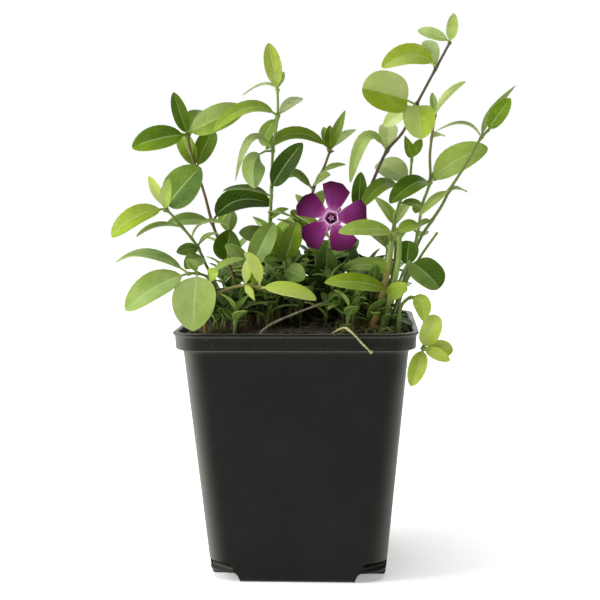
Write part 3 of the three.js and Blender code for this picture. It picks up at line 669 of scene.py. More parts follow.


# %% [markdown]
# ## The shoots that the front view shows
#
# The table repeats the solids' places, in millimetres: where a stem leaves the soil, the points that it
# passes, and for each leaf its station on the stem, its tip, its width and the way its upper face looks.
# What is new here is colour: how light and how grey each leaf is, and how brown each stem is from root to
# end. The values were chosen leaf by leaf.

# %% Shoots on the left
# Where a leaf sets split or haze, these are the painted shade and painted sheen of its halves.
SHOOTS = [
    {"name": "shoot_upper_left", "slot": "dark_leaf", "age": (0.95, 0.75), "warm": 0.35, "root": (-20, 9),
     "path": [(-26, 9, 110), (-31, 8, 122), (-35, 7, 133), (-38, 6, 145), (-41, 5, 155), (-43, 4, 162),
              (-44, 3, 169)],
     "leaves": [
         leaf(6, (-65, -2, 163), 10.5, (0, -1, 0.5), 0.3, 0.05, split=-0.06),
         leaf(6, (-48, -5, 184), 6, FRONT, 0.24, 0.05),
         leaf(6, (-40, 15, 178), 8, FRONT, 0.42, 0.3),
         leaf(6, (-21, 1, 178), 10.5, FRONT, 0.5, 0.4, split=-0.08, haze=-0.15),
         leaf(4, (-48, 13, 169), 7, FRONT, 0.45, 0.2),
         leaf(4, (-35, 14, 170), 8, FRONT, 0.32, 0.1),
         leaf(2, (-52, -2, 133), 7, TILTED, 0.45, 0.6),
         leaf(2, (-12, 14, 140), 12, TILTED, 0.03, 0.0, via=(-25, 11, 142)),
         leaf(0.6, (-27, -2, 131), 11.5, FRONT, 0.18, 0.05),
     ]},
    {"name": "shoot_middle_left", "slot": "light_leaf", "age": (0.9, 0.1), "warm": 0.25, "root": (-25, -6),
     "path": [(-31, -8, 108), (-36, -9, 118), (-39, -10, 125), (-44, -12, 132), (-48, -13, 137),
              (-51, -14, 140)],
     "leaves": [
         leaf(5, (-70, -20, 129), 9.5, TILTED, 0.6, 0.0, arch=0.16),
         leaf(5, (-58, -6, 152), 4, FRONT, 0.8, 0.1),
         leaf(5, (-47, -25, 151), 4.6, FRONT, 0.62, 0.3),
         leaf(5, (-36, -19, 155), 14, FRONT, 0.27, 0.45, fold=8, split=-0.05, haze=0.15),
         leaf(3, (-61, -18, 129), 5.5, UP, 0.5, 0.35, via=(-53, -16, 133)),
         leaf(2.4, (-26, -14, 133), 5, UP, 0.5, 0.5, via=(-36, -13, 134)),
         leaf(2, (-31, -4, 129), 3, UP, 0.5, 0.6, via=(-35, -6, 129)),
         leaf(1.8, (-46, -17, 123), 5, FRONT, 0.35, 0.4),
         leaf(1.4, (-42, -22, 117), 7, FRONT, 0.45, 0.5),
     ]},
    {"name": "shoot_lower_left", "slot": "grey_leaf", "age": (0.7, 0.2), "warm": 0.3, "root": (-27, -21),
     "path": [(-29, -23, 104), (-30, -25, 109), (-32, -29, 114), (-36, -31, 116), (-40, -33, 116)],
     "leaves": [
         leaf(4, (-67, -28, 120), 9, UP, 0.42, 0.65, via=(-54, -31, 122.5)),
         leaf(4, (-62, -38, 103), 13, TILTED, 0.52, 0.6),
         leaf(3, (-36, -47, 96.5), 16, FRONT, 0.6, 0.55, fold=8),
         leaf(3, (-41, -26, 121), 4, UP, 0.5, 0.4),
         leaf(2, (-19, -27, 121), 6, UP, 0.5, 0.4),
         leaf(2, (-28, -34, 117), 5, FRONT, 0.66, 0.1),
     ]},
    {"name": "front_sprout", "slot": "yellow_leaf", "age": (0.75, 0.55), "warm": 1.0, "root": (-33, -34),
     "path": [(-33, -35, 103), (-28, -35.5, 109), (-23, -36, 111), (-18, -36.5, 112), (-12, -37, 111)],
     "leaves": [
         leaf(4, (8, -40, 107), 6.6, TILTED, 0.8, 0.05),
         leaf(4, (-18, -39, 124), 4.4, FRONT, 0.92, 0.0, via=(-14, -38, 119)),
         leaf(3, (-17, -33, 122), 3.6, FRONT, 0.85, 0.05),
         leaf(3.4, (-13, -29, 119), 5, FRONT, 0.5, 0.0),
         leaf(3, (-14, -43, 107), 2.6, FRONT, 0.75, 0.1),
     ]},
    {"name": "shoot_tall_centre", "slot": "mid_leaf", "age": (0.35, 0.0), "warm": 0.3, "root": (-13, 2),
     "path": [(-13, 1, 118), (-12, 0, 127), (-11, -1, 142), (-10, -2, 162), (-8, -3, 175), (-8, -3, 185)],
     "leaves": [
         leaf(5, (-11, -7, 202), 6.6, FRONT, 0.72, 0.15),
         leaf(5, (-6, 4, 192), 3, FRONT, 0.5, 0.5),
         leaf(5, (-22, 2, 183), 3, UP, 0.5, 0.7, via=(-14, 0, 187)),
         leaf(4, (-32, -10, 169), 7, TILTED, 0.52, 0.15, via=(-19, -8, 177.5)),
         leaf(4, (1, 9, 182), 5, TILTED, 0.7, 0.95),
         leaf(4, (-15, 9, 164), 6, FRONT, 0.42, 0.3),
         leaf(3, (-24, -9, 150), 3.6, TILTED, 0.6, 0.8, via=(-18, -6, 166)),
         leaf(3, (-16, -15, 147), 9, BACK, 0.38, 0.45, via=(-16, -12, 158), stalk=0.34),
         leaf(2.2, (2, -12, 164), 8.5, FRONT, 0.0, 0.0),
         leaf(2.1, (-30, 2, 146), 6, UP, 0.15, 0.0),
         leaf(1.6, (0, -10, 135), 3, UP, 0.4, 0.3, via=(-9, -7, 138)),
         leaf(1.5, (-4, -4, 139), 4, TILTED, 0.35, 0.2),
         leaf(1, (-23, -8, 130), 7, FRONT, 0.45, 0.6),
     ]},
]
print("shoots on the left", len(SHOOTS))

# %% Shoots in the middle
SHOOTS += [
    {"name": "low_sprout_left", "slot": "grey_leaf", "age": (0.3, 0.1), "warm": 0.3, "root": (-15, -14),
     "path": [(-16, -16, 106), (-18, -18, 117)],
     "leaves": [
         leaf(1, (-9, -15, 134), 9, FRONT, 0.48, 0.65),
         leaf(1, (-27, -20, 126), 6, TILTED, 0.45, 0.5),
         leaf(0, (-10, -26, 108), 5, TILTED, 0.3, 0.2),
         leaf(0, (-26, -18, 108), 6, TILTED, 0.3, 0.2),
     ]},
    {"name": "low_sprout_centre", "slot": "mid_leaf", "age": (0.3, 0.1), "warm": 0.3, "root": (-3, -11),
     "path": [(-4, -12, 108), (-5, -13, 120)],
     "leaves": [
         leaf(1, (-10, -11, 133), 7, FRONT, 0.42, 0.05),
         leaf(1, (0, -13, 134), 8, FRONT, 0.4, 0.2),
         leaf(1, (-12, -24, 120), 5, TILTED, 0.22, 0.25),
         leaf(0.6, (3, -21, 113), 8, FRONT, 0.42, 0.55),
         leaf(0, (-4, -24, 106), 6, TILTED, 0.2, 0.2),
         leaf(0, (6, -12, 106), 5, TILTED, 0.2, 0.2),
     ]},
    {"name": "shoot_centre", "slot": "dark_leaf", "age": (0.5, 0.7), "warm": 0.5, "root": (6, 11),
     "path": [(6, 10, 126), (5, 9, 146), (9, 8, 154), (12, 8, 162)],
     "leaves": [
         leaf(3, (-13, 1, 162), 7, TILTED, 0.4, 0.1, via=(-1, 4, 168)),
         leaf(3, (9, 15, 171), 4, FRONT, 0.35, 0.3),
         leaf(3, (18, 3, 177), 4, FRONT, 0.45, 0.3),
         leaf(3, (12, -1, 171), 4.5, FRONT, 0.3, 0.05),
         leaf(3, (22, 18, 170), 4, TILTED, 0.65, 0.9),
         leaf(1, (-5, 3, 151), 5, TILTED, 0.35, 0.4, via=(-1, 5, 152)),
         leaf(1.2, (12, 3, 152), 6, TILTED, 0.5, 0.5),
         leaf(1.8, (18, 4, 156), 3, TILTED, 0.45, 0.6),
         leaf(0, (16, 8, 139), 7, TILTED, 0.25, 0.1),
         leaf(0, (-4, 14, 138), 7, TILTED, 0.25, 0.1),
     ]},
    {"name": "flowering_shoot", "slot": "grey_leaf", "age": (0.2, 0.1), "warm": 0.3, "root": (10, -7),
     "path": [(11, -8, 106), (12, -8, 119), (12.5, -5.5, 127), (13, -6.5, 132.5), (13, -9, 134.3),
              (13, -11, 134.8)],
     "leaves": [
         leaf(0, (11, -15, 125), 9, FRONT, 0.12, 0.4),
         leaf(2, (-1, -13, 137), 4, TILTED, 0.72, 0.1),
         leaf(1, (19, -15, 126), 6, TILTED, 0.42, 0.4),
         leaf(1, (3, -4, 126), 6, TILTED, 0.25, 0.2),
     ]},
]

# %% Shoots on the right
SHOOTS += [
    {"name": "shoot_tallest", "slot": "yellow_leaf", "age": (1.0, 0.9), "warm": 0.1, "root": (14, 5),
     "path": [(18, 4, 123), (23, 2, 137), (28, 0, 148), (34, -1, 161), (40, -2, 168), (45, -3, 178),
              (52, -4, 191), (58, -4, 202)],
     "leaves": [
         leaf(7, (59, -9, 212), 4.4, FRONT, 0.66, 0.35),
         leaf(7, (46, 1, 207), 4.6, FRONT, 0.6, 0.6),
         leaf(6, (50, 10, 204), 6.5, FRONT, 0.64, 0.85),
         leaf(6.2, (32, -10, 192), 8.5, FRONT, 0.7, 0.0, via=(43, -8, 197)),
         leaf(5, (24.5, -14, 184), 16, FRONT, 0.72, 0.2, outline=rounded, stalk=0.22, fold=18, split=0.09,
              haze=0.2),
         leaf(5, (46.5, -18, 165), 12, TILTED, 0.72, 0.15, outline=rounded, haze=0.15),
         leaf(5, (33, 4, 171), 6, FRONT, 0.7, 0.6),
         leaf(3, (35, 13, 172), 7.5, FRONT, 0.72, 0.7),
         leaf(3, (20, -8, 149), 5.5, TILTED, 0.58, 0.5, via=(26, -5, 166)),
         leaf(1, (24, -4, 153), 6, FRONT, 0.18, 0.0),
     ]},
    {"name": "upright_sprig", "slot": "mid_leaf", "age": (0.3, 0.1), "warm": 0.2, "root": (30, 11),
     "path": [(35, 12, 122), (39, 11.5, 140), (43, 11, 149), (44, 10, 158)],
     "leaves": [
         leaf(3, (41, 3, 167), 4, FRONT, 0.4, 0.0),
         leaf(3, (48, 16, 166), 4, FRONT, 0.4, 0.05),
         leaf(2, (30, 15, 156), 12, TILTED, 0.68, 0.8),
         leaf(1.6, (24, -8, 139), 7, TILTED, 0.34, 0.1, via=(33, -2, 148)),
         leaf(1, (50, 19, 138), 5, TILTED, 0.35, 0.3),
     ]},
    {"name": "shoot_upright_right", "slot": "light_leaf", "age": (0.0, 0.95), "browning": 3, "warm": 0.75,
     "root": (36, 4),
     "path": [(40, 4, 108), (43, 4, 118), (46, 5, 128), (48, 6, 140), (51, 7, 149), (51, 7, 160),
              (53, 7, 176)],
     "leaves": [
         leaf(6, (52, 12, 184), 3, FRONT, 0.5, 0.6),
         leaf(6, (64, -3, 187), 4.5, TILTED, 0.7, 0.45),
         leaf(5.4, (57, 18, 167), 4, TILTED, 0.6, 0.3),
         leaf(4, (73, 2, 162), 12, (0, -1, 0.7), 0.58, 0.35, arch=0.14),
         leaf(4, (58, 12, 153), 5, TILTED, 0.45, 0.2),
         leaf(4, (35, -8, 141), 9, TILTED, 0.24, 0.0, via=(44, -2, 148)),
         leaf(3, (45, 0, 137), 5, TILTED, 0.62, 0.15),
         leaf(2, (48, 20, 127), 7, TILTED, 0.3, 0.2),
     ]},
    {"name": "shoot_outer_right", "slot": "mid_leaf", "age": (0.5, 0.45), "warm": 0.1, "root": (37, -7),
     "path": [(41, -8, 112), (47, -7, 128), (51, -6, 134), (55, -5, 140), (58, -5, 146), (65, -5, 157),
              (70, -6, 166), (73, -6, 169)],
     "leaves": [
         leaf(7, (80, -12, 180), 6.4, FRONT, 0.32, 0.0),
         leaf(6, (84, 6, 186), 3.2, FRONT, 0.5, 0.7, via=(74, 0, 175)),
         leaf(6, (53, -4, 168.5), 4, UP, 0.45, 0.55, via=(63, -7, 171)),
         leaf(4, (65, 0, 145), 4, UP, 0.5, 0.7),
         leaf(4, (46, -10, 136), 4, TILTED, 0.6, 0.4),
         leaf(2, (45, -2, 131), 3.4, TILTED, 0.4, 0.4),
     ]},
    {"name": "cut_stalk", "slot": "dead_stalk", "age": (0.5, 0.3), "warm": 0.2, "root": (35, -15),
     "path": [(39, -15, 107), (46, -13, 120), (53, -12, 130)], "leaves": []},
    {"name": "front_right_sprout", "slot": "yellow_leaf", "age": (0.75, 0.45), "warm": 1.0, "radius": 1.05,
     "root": (30, -28),
     "path": [(33, -28, 106), (36, -27, 115), (37, -27, 124), (37, -27, 131)],
     "leaves": [
         leaf(3, (16, -32, 131), 7.5, TILTED, 0.54, 0.3),
         leaf(3, (46, -18, 133), 6, TILTED, 0.5, 0.1),
         leaf(0.3, (11, -37, 113), 7, (0, -1, 0.6), 0.46, 0.1, arch=0.14),
         leaf(0, (41, -33, 112), 6, FRONT, 0.62, 0.05),
         leaf(1, (27, -30, 120), 4, FRONT, 0.5, 0.2),
     ]},
    {"name": "round_leaf_sprout", "slot": "dark_leaf", "age": (0.4, 0.1), "warm": 0.2, "root": (33, -20),
     "path": [(37, -21, 108), (40, -22, 116), (42.5, -22, 120)],
     "leaves": [
         leaf(2, (53, -27, 110), 12.5, TILTED, 0.28, 0.35, outline=rounded, split=0.09, haze=0.15),
         leaf(1.5, (42, -17, 127), 8, FRONT, 0.2, 0.05),
         leaf(1, (17, -18, 117), 7, TILTED, 0.42, 0.5),
         leaf(0, (29, -14, 110), 6, TILTED, 0.25, 0.2),
     ]},
    {"name": "trailing_sprig", "slot": "yellow_leaf", "age": (0.1, 0.0), "warm": 0.3, "root": (38, -30),
     "path": [(39, -30, 104), (43, -31, 107), (46.5, -33, 102), (47.2, -34.5, 94), (46.8, -36.5, 88)],
     "leaves": [
         leaf(4, (51.5, -36, 101), 7.5, FRONT, 0.76, 0.0, outline=rounded),
         leaf(4, (57.5, -34, 88), 6.5, FRONT, 0.76, 0.0),
         leaf(4, (56, -41, 85), 4.5, FRONT, 0.8, 0.0),
         leaf(4, (42, -43.5, 76), 6.5, FRONT, 0.76, 0.05),
         leaf(0.8, (46.5, -38, 99), 6.5, TILTED, 0.66, 0.05, via=(46, -34, 105)),
     ]},
]
print("shoots seen from the front", len(SHOOTS), "leaves", sum(len(s["leaves"]) for s in SHOOTS))

# %% [markdown]
# ## Shoots made by a rule
#
# Behind the plant the same pattern repeats: opposite leaves, each pair turned a quarter from the pair below.
# A rule is enough there, and for two seedlings at the front. The draws of chance are those of the solids, so
# both agree. A row gives where a shoot starts, where it ends and how far its first pair is turned.

# %% Rule for the far shoots and the seedlings
FAR_SHOOTS = [
    ((-27, 22), (-32, 36, 128), 20), ((-12, 31), (-14, 56, 122), 130), ((3, 23), (3, 33, 134), 35),
    ((14, 34), (16, 58, 122), 110), ((31, 24), (38, 38, 131), 42),
]
FRONT_SEEDLINGS = [((-22, -38), (-21, -39, 103), 30), ((19, -33), (20, -33, 104), 25)]
FAR_LEAVES = {"pairs": 3, "length": 21, "width": 10}
SEEDLING_LEAVES = {"pairs": 2, "length": 11, "width": 6}


def draws(seed):
    """Numbers between 0 and 1, worked out as for the solids."""
    state = seed * 7919 + 17
    while True:
        state = state * 16807 % 2147483647
        yield state / 2147483647


def rising(turn, rise):
    """For a leaf that points outwards and rises: the way its rib runs, and the way its upper face looks."""
    out, up = np.array([math.cos(turn), math.sin(turn), 0]), np.array([0, 0, 1])
    return out * math.cos(rise) + up * math.sin(rise), up * math.cos(rise) - out * math.sin(rise)


def rule_shoot(name, slot, root, tip, twist, pairs, length, width, seed, light):
    chance = draws(seed)
    soil = soil_top_at(*root)
    path, leaves = [], []
    for k in range(1, pairs + 1):
        s = k / pairs
        node = np.array([root[0] + (tip[0] - root[0]) * s ** 1.5, root[1] + (tip[1] - root[1]) * s ** 1.5,
                         soil + (tip[2] - soil) * s ** 0.85])
        path.append(tuple(node))
        rise = math.radians(15 + 30 * s)
        turn = math.radians(twist + 90 * k)
        for side in (0, math.pi):
            azimuth = turn + side + 0.3 * (next(chance) - 0.5)
            reach = length * (1.15 - 0.4 * s) * (0.85 + 0.3 * next(chance))
            along, face = rising(azimuth, rise)
            leaves.append(leaf(k - 1, tuple(node + along * reach), width * reach / length, tuple(face),
                               light + 0.2 * s, 0.2, outline=plain, fold=8))
    return {"name": name, "slot": slot, "age": (0.7, 0.2), "warm": 0.3, "root": root, "path": path,
            "leaves": leaves}


for k, place in enumerate(FAR_SHOOTS):
    dark = k % 2
    SHOOTS.append(rule_shoot(f"far_shoot_{k + 1}", "dark_leaf" if dark else "mid_leaf", *place, seed=11 + k,
                             light=0.32 - 0.1 * dark, **FAR_LEAVES))
for k, place in enumerate(FRONT_SEEDLINGS):
    SHOOTS.append(rule_shoot(f"front_seedling_{k + 1}", "dark_leaf", *place, seed=31 + k, light=0.12,
                             **SEEDLING_LEAVES))
print("all shoots", len(SHOOTS))

# %% [markdown]
# ## Growing the shoots
#
# Each shoot becomes one piece, a stem with its leaves on it, that stands for the solid of the same name.
# The flowering one is kept back until its calyx is made.

# %% Grow
def grow(shoot, seed):
    gathered = Gather()
    chance = random.Random(seed)
    line = stem_line(shoot["root"], shoot["path"])
    stations = [station_on(line, shoot["path"], spec["at"]) for spec in shoot["leaves"]]
    add_stem(gathered, line, stations, shoot.get("radius", STEM_RADIUS), shoot["age"], shoot["warm"],
             shoot.get("browning", 1))
    for station, spec in zip(stations, shoot["leaves"]):
        add_leaf(gathered, station, spec, chance)
    return gathered


FIRST_SEED = 100
for number, shoot in enumerate(SHOOTS):
    gathered = grow(shoot, FIRST_SEED + number)
    if shoot["name"] == "flowering_shoot":
        flowering = gathered
        continue
    piece = make_piece(shoot["name"] + "_grown", gathered, LEAFY)
    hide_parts(shoot["name"])

# %% [markdown]
# ## The flower
#
# The corolla is a narrow tube that opens into five petals. Each petal is cut off almost straight at its end
# and leans to one side, so that the five look like a pinwheel. A raised five-sided rim, paler than the
# petals, surrounds the throat, where the anthers fold over the style. The flower is built lying face up,
# with its throat at the origin, and then turned to look forward.

# %% Flower sizes and its own frame
FLOWER_CENTRE = (13, -22, 136)
FLOWER_FACES = Vector((0, -1, 0.12)).normalized()
PETAL_FIRST_TURN = math.radians(80)
PETALS = 5
TUBE_LENGTH = 10
PETAL_OUTLINE = [(2.2, 1.25), (4, 2.35), (5, 2.9), (7.5, 4.0), (10, 5.0), (12.2, 5.5), (13.4, 4.4)]


def flower_matrix():
    right = Vector((1, 0, 0))
    up = FLOWER_FACES.cross(right)
    turned = Matrix((right, up, FLOWER_FACES)).transposed().to_4x4()
    return Matrix.Translation(FLOWER_CENTRE) @ turned


TO_FLOWER = flower_matrix()


def in_flower(points):
    return [tuple(TO_FLOWER @ Vector(p)) for p in points]


def polar(r, turn, z):
    """A point at a distance from the axis, turned round it."""
    return r * math.cos(turn), r * math.sin(turn), z


def lathe(profile, sides):
    """Points and faces of a turned body; the profile starts and ends on the axis."""
    points = [polar(r, 2 * math.pi * k / sides, z) for r, z in profile[1:-1] for k in range(sides)]
    rings = len(profile) - 2
    faces = loft_faces(rings, sides, False)
    points += [(0, 0, profile[0][1]), (0, 0, profile[-1][1])]
    first, last = rings * sides, rings * sides + 1
    for k in range(sides):
        faces.append((first, (k + 1) % sides, k))
        faces.append((last, (rings - 1) * sides + k, (rings - 1) * sides + (k + 1) % sides))
    return points, faces


# %% [markdown]
# ### Petal finish
#
# A petal is velvety and never one flat purple. It darkens towards its end, pales to violet at the throat and
# along its inner edges, is a little bluer on one side, and carries fine streaks. A colour ramp along the
# petal gives the main change, and a noise that is squeezed across it gives the streaks.

# %% Petal finish
PURPLES = [(0.0, "#d69cc4"), (0.1, "#9c4a88"), (0.28, "#701b5a"), (0.7, "#590d44"), (1.0, "#38072a")]


def make_petal_material():
    material, g, shader = start_material("petal", Subsurface_Weight=0.2, Subsurface_Scale=0.0004,
                                         Subsurface_Radius=(1.0, 0.3, 0.9), Specular_IOR_Level=0.1)
    along, across = g.painted("along"), g.painted("across")
    streak_at = g.node("CombineXYZ", X=g.maths("MULTIPLY", across, 7.0), Y=g.maths("MULTIPLY", along, 1.2))
    streaks = g.noise(2.2, 3.0, 0.6, streak_at.outputs[0])
    patches = g.noise(210, 3.0)
    colour = g.ramp(g.vary(g.vary(along, streaks, 0.5), patches, 0.25), PURPLES)
    side = g.between(across, -1.0, 1.0, 0.0, 0.35)
    colour = g.mix(g.maths("MULTIPLY", side, g.between(along, 0.95, 0.3)), colour, "#8d4690")
    brim = g.maths("MULTIPLY", g.between(g.maths("ABSOLUTE", across), 0.7, 0.95), g.between(along, 0.3, 0.1))
    colour = g.mix(g.maths("MULTIPLY", brim, 0.75), colour, "#dba6cd")
    finish_material(g, shader, colour, g.between(streaks, 0.3, 0.7, 0.45, 0.65), streaks, 0.12)
    return material


petal_finish = make_petal_material()
print("petal finish", petal_finish.name)

# %% [markdown]
# ### Petals and tube
#
# A petal could be cut from a plane and bent. Rows and columns of points give more say: an outline sets the
# width of each row, and formulas curl, wave and lean the ends. Five turned copies and a turned tube are
# gathered as one piece, because a corolla grows as one.

# %% Petals and tube
PETAL_ROWS = np.concatenate([np.linspace(2.4, 11, 9), np.linspace(11.6, 13.4, 6)])
PETAL_COLUMNS = np.array([-1, -0.92, -0.75, -0.5, -0.25, 0, 0.25, 0.5, 0.75, 0.92, 1])
HALF_PETAL = 0.14
TUBE_PROFILE = [(0, -TUBE_LENGTH), (1.1, -TUBE_LENGTH), (1.3, -5), (2.1, -2.2), (3.6, -1.3), (4.1, -1.0),
                (4.1, -0.8), (3.6, -0.7), (1.9, -1.1), (1.4, -3.5), (0, -3.8)]


def petal_parts(gathered, turn, chance):
    reaches, halves = zip(*PETAL_OUTLINE)
    wave_turn = chance.uniform(0, 6.28)
    upper, lower = [], []
    for reach in PETAL_ROWS:
        half = float(np.interp(reach, reaches, halves))
        end = max(0.0, (reach - 11.2) / 2.2)
        for share in PETAL_COLUMNS:
            across = share * half
            along = reach + 0.12 * across - end * 2.1 * abs(share) ** 4 - end * 0.35 * share ** 2
            along += 0.12 * end * math.sin(5 * share + wave_turn)
            height = 0.1 * across + 0.008 * reach ** 2 - 0.45
            height += 0.32 * math.sin(2.6 * share + wave_turn) * smooth_step(reach, 5, 13) * abs(share)
            height -= 0.25 * math.exp(-(share / 0.12) ** 2) * smooth_step(13 - reach, 0, 6)
            upper.append((along, across, height + HALF_PETAL))
            lower.append((along, across, height - HALF_PETAL))
    tops, bottoms, rim = shell_faces(len(PETAL_ROWS), len(PETAL_COLUMNS))
    spin = Matrix.Rotation(turn, 3, "Z")
    points = in_flower([spin @ Vector(p) for p in upper + lower])
    faces = [tuple(reversed(f)) for f in tops + bottoms + rim]
    along = np.repeat((PETAL_ROWS - PETAL_ROWS[0]) / 11, len(PETAL_COLUMNS))
    across = np.tile(PETAL_COLUMNS, len(PETAL_ROWS))
    gathered.add(points, faces, across=list(across) * 2, along=list(along) * 2)


def make_corolla():
    gathered = Gather()
    chance = random.Random(5)
    for k in range(PETALS):
        petal_parts(gathered, PETAL_FIRST_TURN + k * 2 * math.pi / PETALS, chance)
    points, faces = lathe(TUBE_PROFILE, 30)
    # The flare round the throat is painted pale: partly the flower's own pale base, partly painted light that
    # lifts the shadow in the gaps between the petals.
    gathered.add(in_flower(points), faces, along=[0.08 if p[2] > -1.2 else 0.4 for p in points])
    piece = make_piece("corolla_open", gathered, [petal_finish], 60)
    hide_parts("flower_corolla")
    return piece


corolla = make_corolla()
print("corolla faces", len(corolla.data.polygons))

# %% [markdown]
# ### Eye of the flower
#
# The eye is what the throat shows: a style with five anthers folded over it, and round it a pale rim on a
# five-sided path. At this size a small turned body, five bent tubes and one swept ring are enough. One
# speckled finish serves them all, and a painted number says how pale each is.

# %% Throat rim and eye
PISTIL = [(0, -3.45), (0.55, -3.4), (0.55, -1.5), (0.8, -1.0), (0.75, -0.6), (0.3, -0.35), (0, -0.3)]
ANTHER = [(0.55, -1.3), (0.95, -0.75), (0.85, -0.35), (0.4, -0.15)]
ANTHER_RADII = [0.16, 0.34, 0.3, 0.12]
RIM_RADIUS = 2.45
RIM_THICKNESS = 0.24


def make_eye_material():
    material, g, shader = start_material("flower_eye", Subsurface_Weight=0.15, Subsurface_Scale=0.0003)
    speckle = g.noise(1600, 3.0, 0.7)
    dark, pale = g.mix(speckle, "#5a1838", "#b06a7c"), g.mix(speckle, "#c583bb", "#f0cbe6")
    colour = g.mix(g.painted("light"), dark, pale)
    finish_material(g, shader, colour, g.between(speckle, 0.2, 0.8, 0.5, 0.75), speckle, 0.1)
    return material


eye_finish = make_eye_material()


def throat_rim(gathered):
    """A low ridge on a five-sided path round the throat, with a dip at each petal."""
    sides, around = 6, 60
    points = []
    for k in range(around):
        turn = 2 * math.pi * k / around
        bend = (turn - PETAL_FIRST_TURN + math.pi / PETALS) % (2 * math.pi / PETALS) - math.pi / PETALS
        reach = RIM_RADIUS / math.cos(bend * 0.9)
        for j in range(sides):
            angle = 2 * math.pi * j / sides
            points.append(polar(reach + RIM_THICKNESS * math.cos(angle), turn,
                                0.1 + RIM_THICKNESS * math.sin(angle)))
    faces = []
    for k in range(around):
        for j in range(sides):
            a, b = k * sides + j, k * sides + (j + 1) % sides
            c = (k + 1) % around * sides
            faces.append((a, c + j, c + (j + 1) % sides, b))
    gathered.add(in_flower(points), faces, light=1.0)


def make_eye():
    gathered = Gather()
    throat_rim(gathered)
    points, faces = lathe(PISTIL, 14)
    gathered.add(in_flower(points), faces, light=0.35)
    for k in range(PETALS):
        turn = (k + 0.5) / PETALS * 2 * math.pi
        points, faces = tube(np.array([polar(r, turn, z) for r, z in ANTHER]), ANTHER_RADII, 7)
        gathered.add(in_flower(points), faces, light=0.25 if k % 2 else 0.55)
    piece = make_piece("flower_eye_open", gathered, [eye_finish])
    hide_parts("flower_eye")
    return piece


eye = make_eye()
print("eye faces", len(eye.data.polygons))

# %% [markdown]
# ### Calyx
#
# Behind the flower a small green cup with five narrow sepals holds the tube. It is grown on the flowering
# shoot, as on the real plant, so the shoot becomes a piece only now. A sepal is a narrow leaf.

# %% Calyx, grown on the flowering shoot
def add_calyx(gathered):
    back = -TUBE_LENGTH - 0.35
    profile = [(0, back - 1.2), (1, back - 1.2), (1.7, back - 0.7), (2.1, back), (2.2, back + 1.4),
               (1.6, back + 1.4), (1.5, back), (0, back)]
    points, faces = lathe(profile, 20)
    gathered.add(in_flower(points), faces, BELOW, light=0.5, bloom=0.3, across=0.4, along=0.5)
    chance = random.Random(9)
    for k in range(PETALS):
        turn = (k + 0.25) / PETALS * 2 * math.pi
        places = [polar(r, turn, z) for r, z in ((0, 0), (1, 0), (1.85, back + 1), (3.4, back + 6))]
        axis, out, base, tip = (np.array(place) for place in in_flower(places))
        sepal = leaf(0, tuple(tip), 1.4, tuple(out - axis), 0.5, 0.3, outline=plain, fold=6)
        add_leaf(gathered, base, sepal, chance)


add_calyx(flowering)
piece = make_piece("flowering_shoot_grown", flowering, LEAFY)
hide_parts("flowering_shoot")

# %% [markdown]
# ## The pot
#
# Thin black plastic, moulded in one piece. An outer body is lofted through square rings with rounded
# corners, and booleans cut away the hollow, the raised corners of the foot and the drain windows. The flat
# sides bow in and out by up to a fifth of a millimetre, which makes the reflections on such a pot uneven.

# %% Rings of the pot
CORNER_STEPS = 10
SIDE_STEPS = 8


def square_ring(half, corner, z, bow=0.0):
    """A square with rounded corners. Its sides are split, so that they can bow in and out."""
    ring = []
    reach = half - corner
    signs = ((1, 1), (-1, 1), (-1, -1), (1, -1))
    for side in range(4):
        sx, sy = signs[side]
        for k in range(CORNER_STEPS + 1):
            angle = (side + k / CORNER_STEPS) * math.pi / 2
            ring.append([sx * reach + corner * math.cos(angle), sy * reach + corner * math.sin(angle), z])
        nx, ny = signs[(side + 1) % 4]
        angle = (side + 1) * math.pi / 2
        out = np.array([math.cos(angle), math.sin(angle)])
        a = np.array([sx * reach, sy * reach]) + corner * out
        b = np.array([nx * reach, ny * reach]) + corner * out
        for k in range(1, SIDE_STEPS):
            s = k / SIDE_STEPS
            p = a + (b - a) * s + out * bow * math.sin(math.pi * s) * math.sin(0.07 * z + 2.1 * side + 3 * s)
            ring.append([p[0], p[1], z])
    return ring


def body_half_at(z):
    return FOOT_HALF + (BODY_HALF - FOOT_HALF) * z / POT_HEIGHT


def loft_object(name, rings):
    mesh = bpy.data.meshes.new(name)
    points = [tuple(v * MM for v in p) for ring in rings for p in ring]
    mesh.from_pydata(points, [], loft_faces(len(rings), len(rings[0])))
    made = bpy.data.objects.new(name, mesh)
    bpy.context.scene.collection.objects.link(made)
    return made


# %% [markdown]
# ### Cutting the foot
#
# The foot is a cross: each corner of the underside is raised, and a slot through the wall there lets water
# out. Booleans cut both, since a lofted body alone can't have such openings. A cutter reaches a little past
# the plastic on every side, because a boolean goes wrong where two faces lie in one plane.

# %% Cutters for the raised corners and the drain windows
CUTTER_ROUND = 2.2
WINDOW_HALF = 6.6


def corner_cutter(sx, sy, arm, top):
    """A block under one corner of the foot, narrower towards its top, with a rounded upper edge."""
    rings = []
    steps = ((-2, -1.6), (0, -1.1), (top * 0.45, -0.5), (top * 0.75, 0.1), (top * 0.93, 0.8), (top, 1.8))
    high = FOOT_HALF * 1.6
    for z, shift in steps:
        low = arm + shift
        centre = low + CUTTER_ROUND
        ring = []
        for k in range(9):
            angle = math.pi + k / 8 * math.pi / 2
            ring.append((centre + CUTTER_ROUND * math.cos(angle), centre + CUTTER_ROUND * math.sin(angle), z))
        ring += [(high, low, z), (high, high, z), (low, high, z)]
        ring = [(sx * x, sy * y, z) for x, y, z in ring]
        rings.append(ring if sx * sy > 0 else ring[::-1])
    return loft_object("corner_cutter", rings)


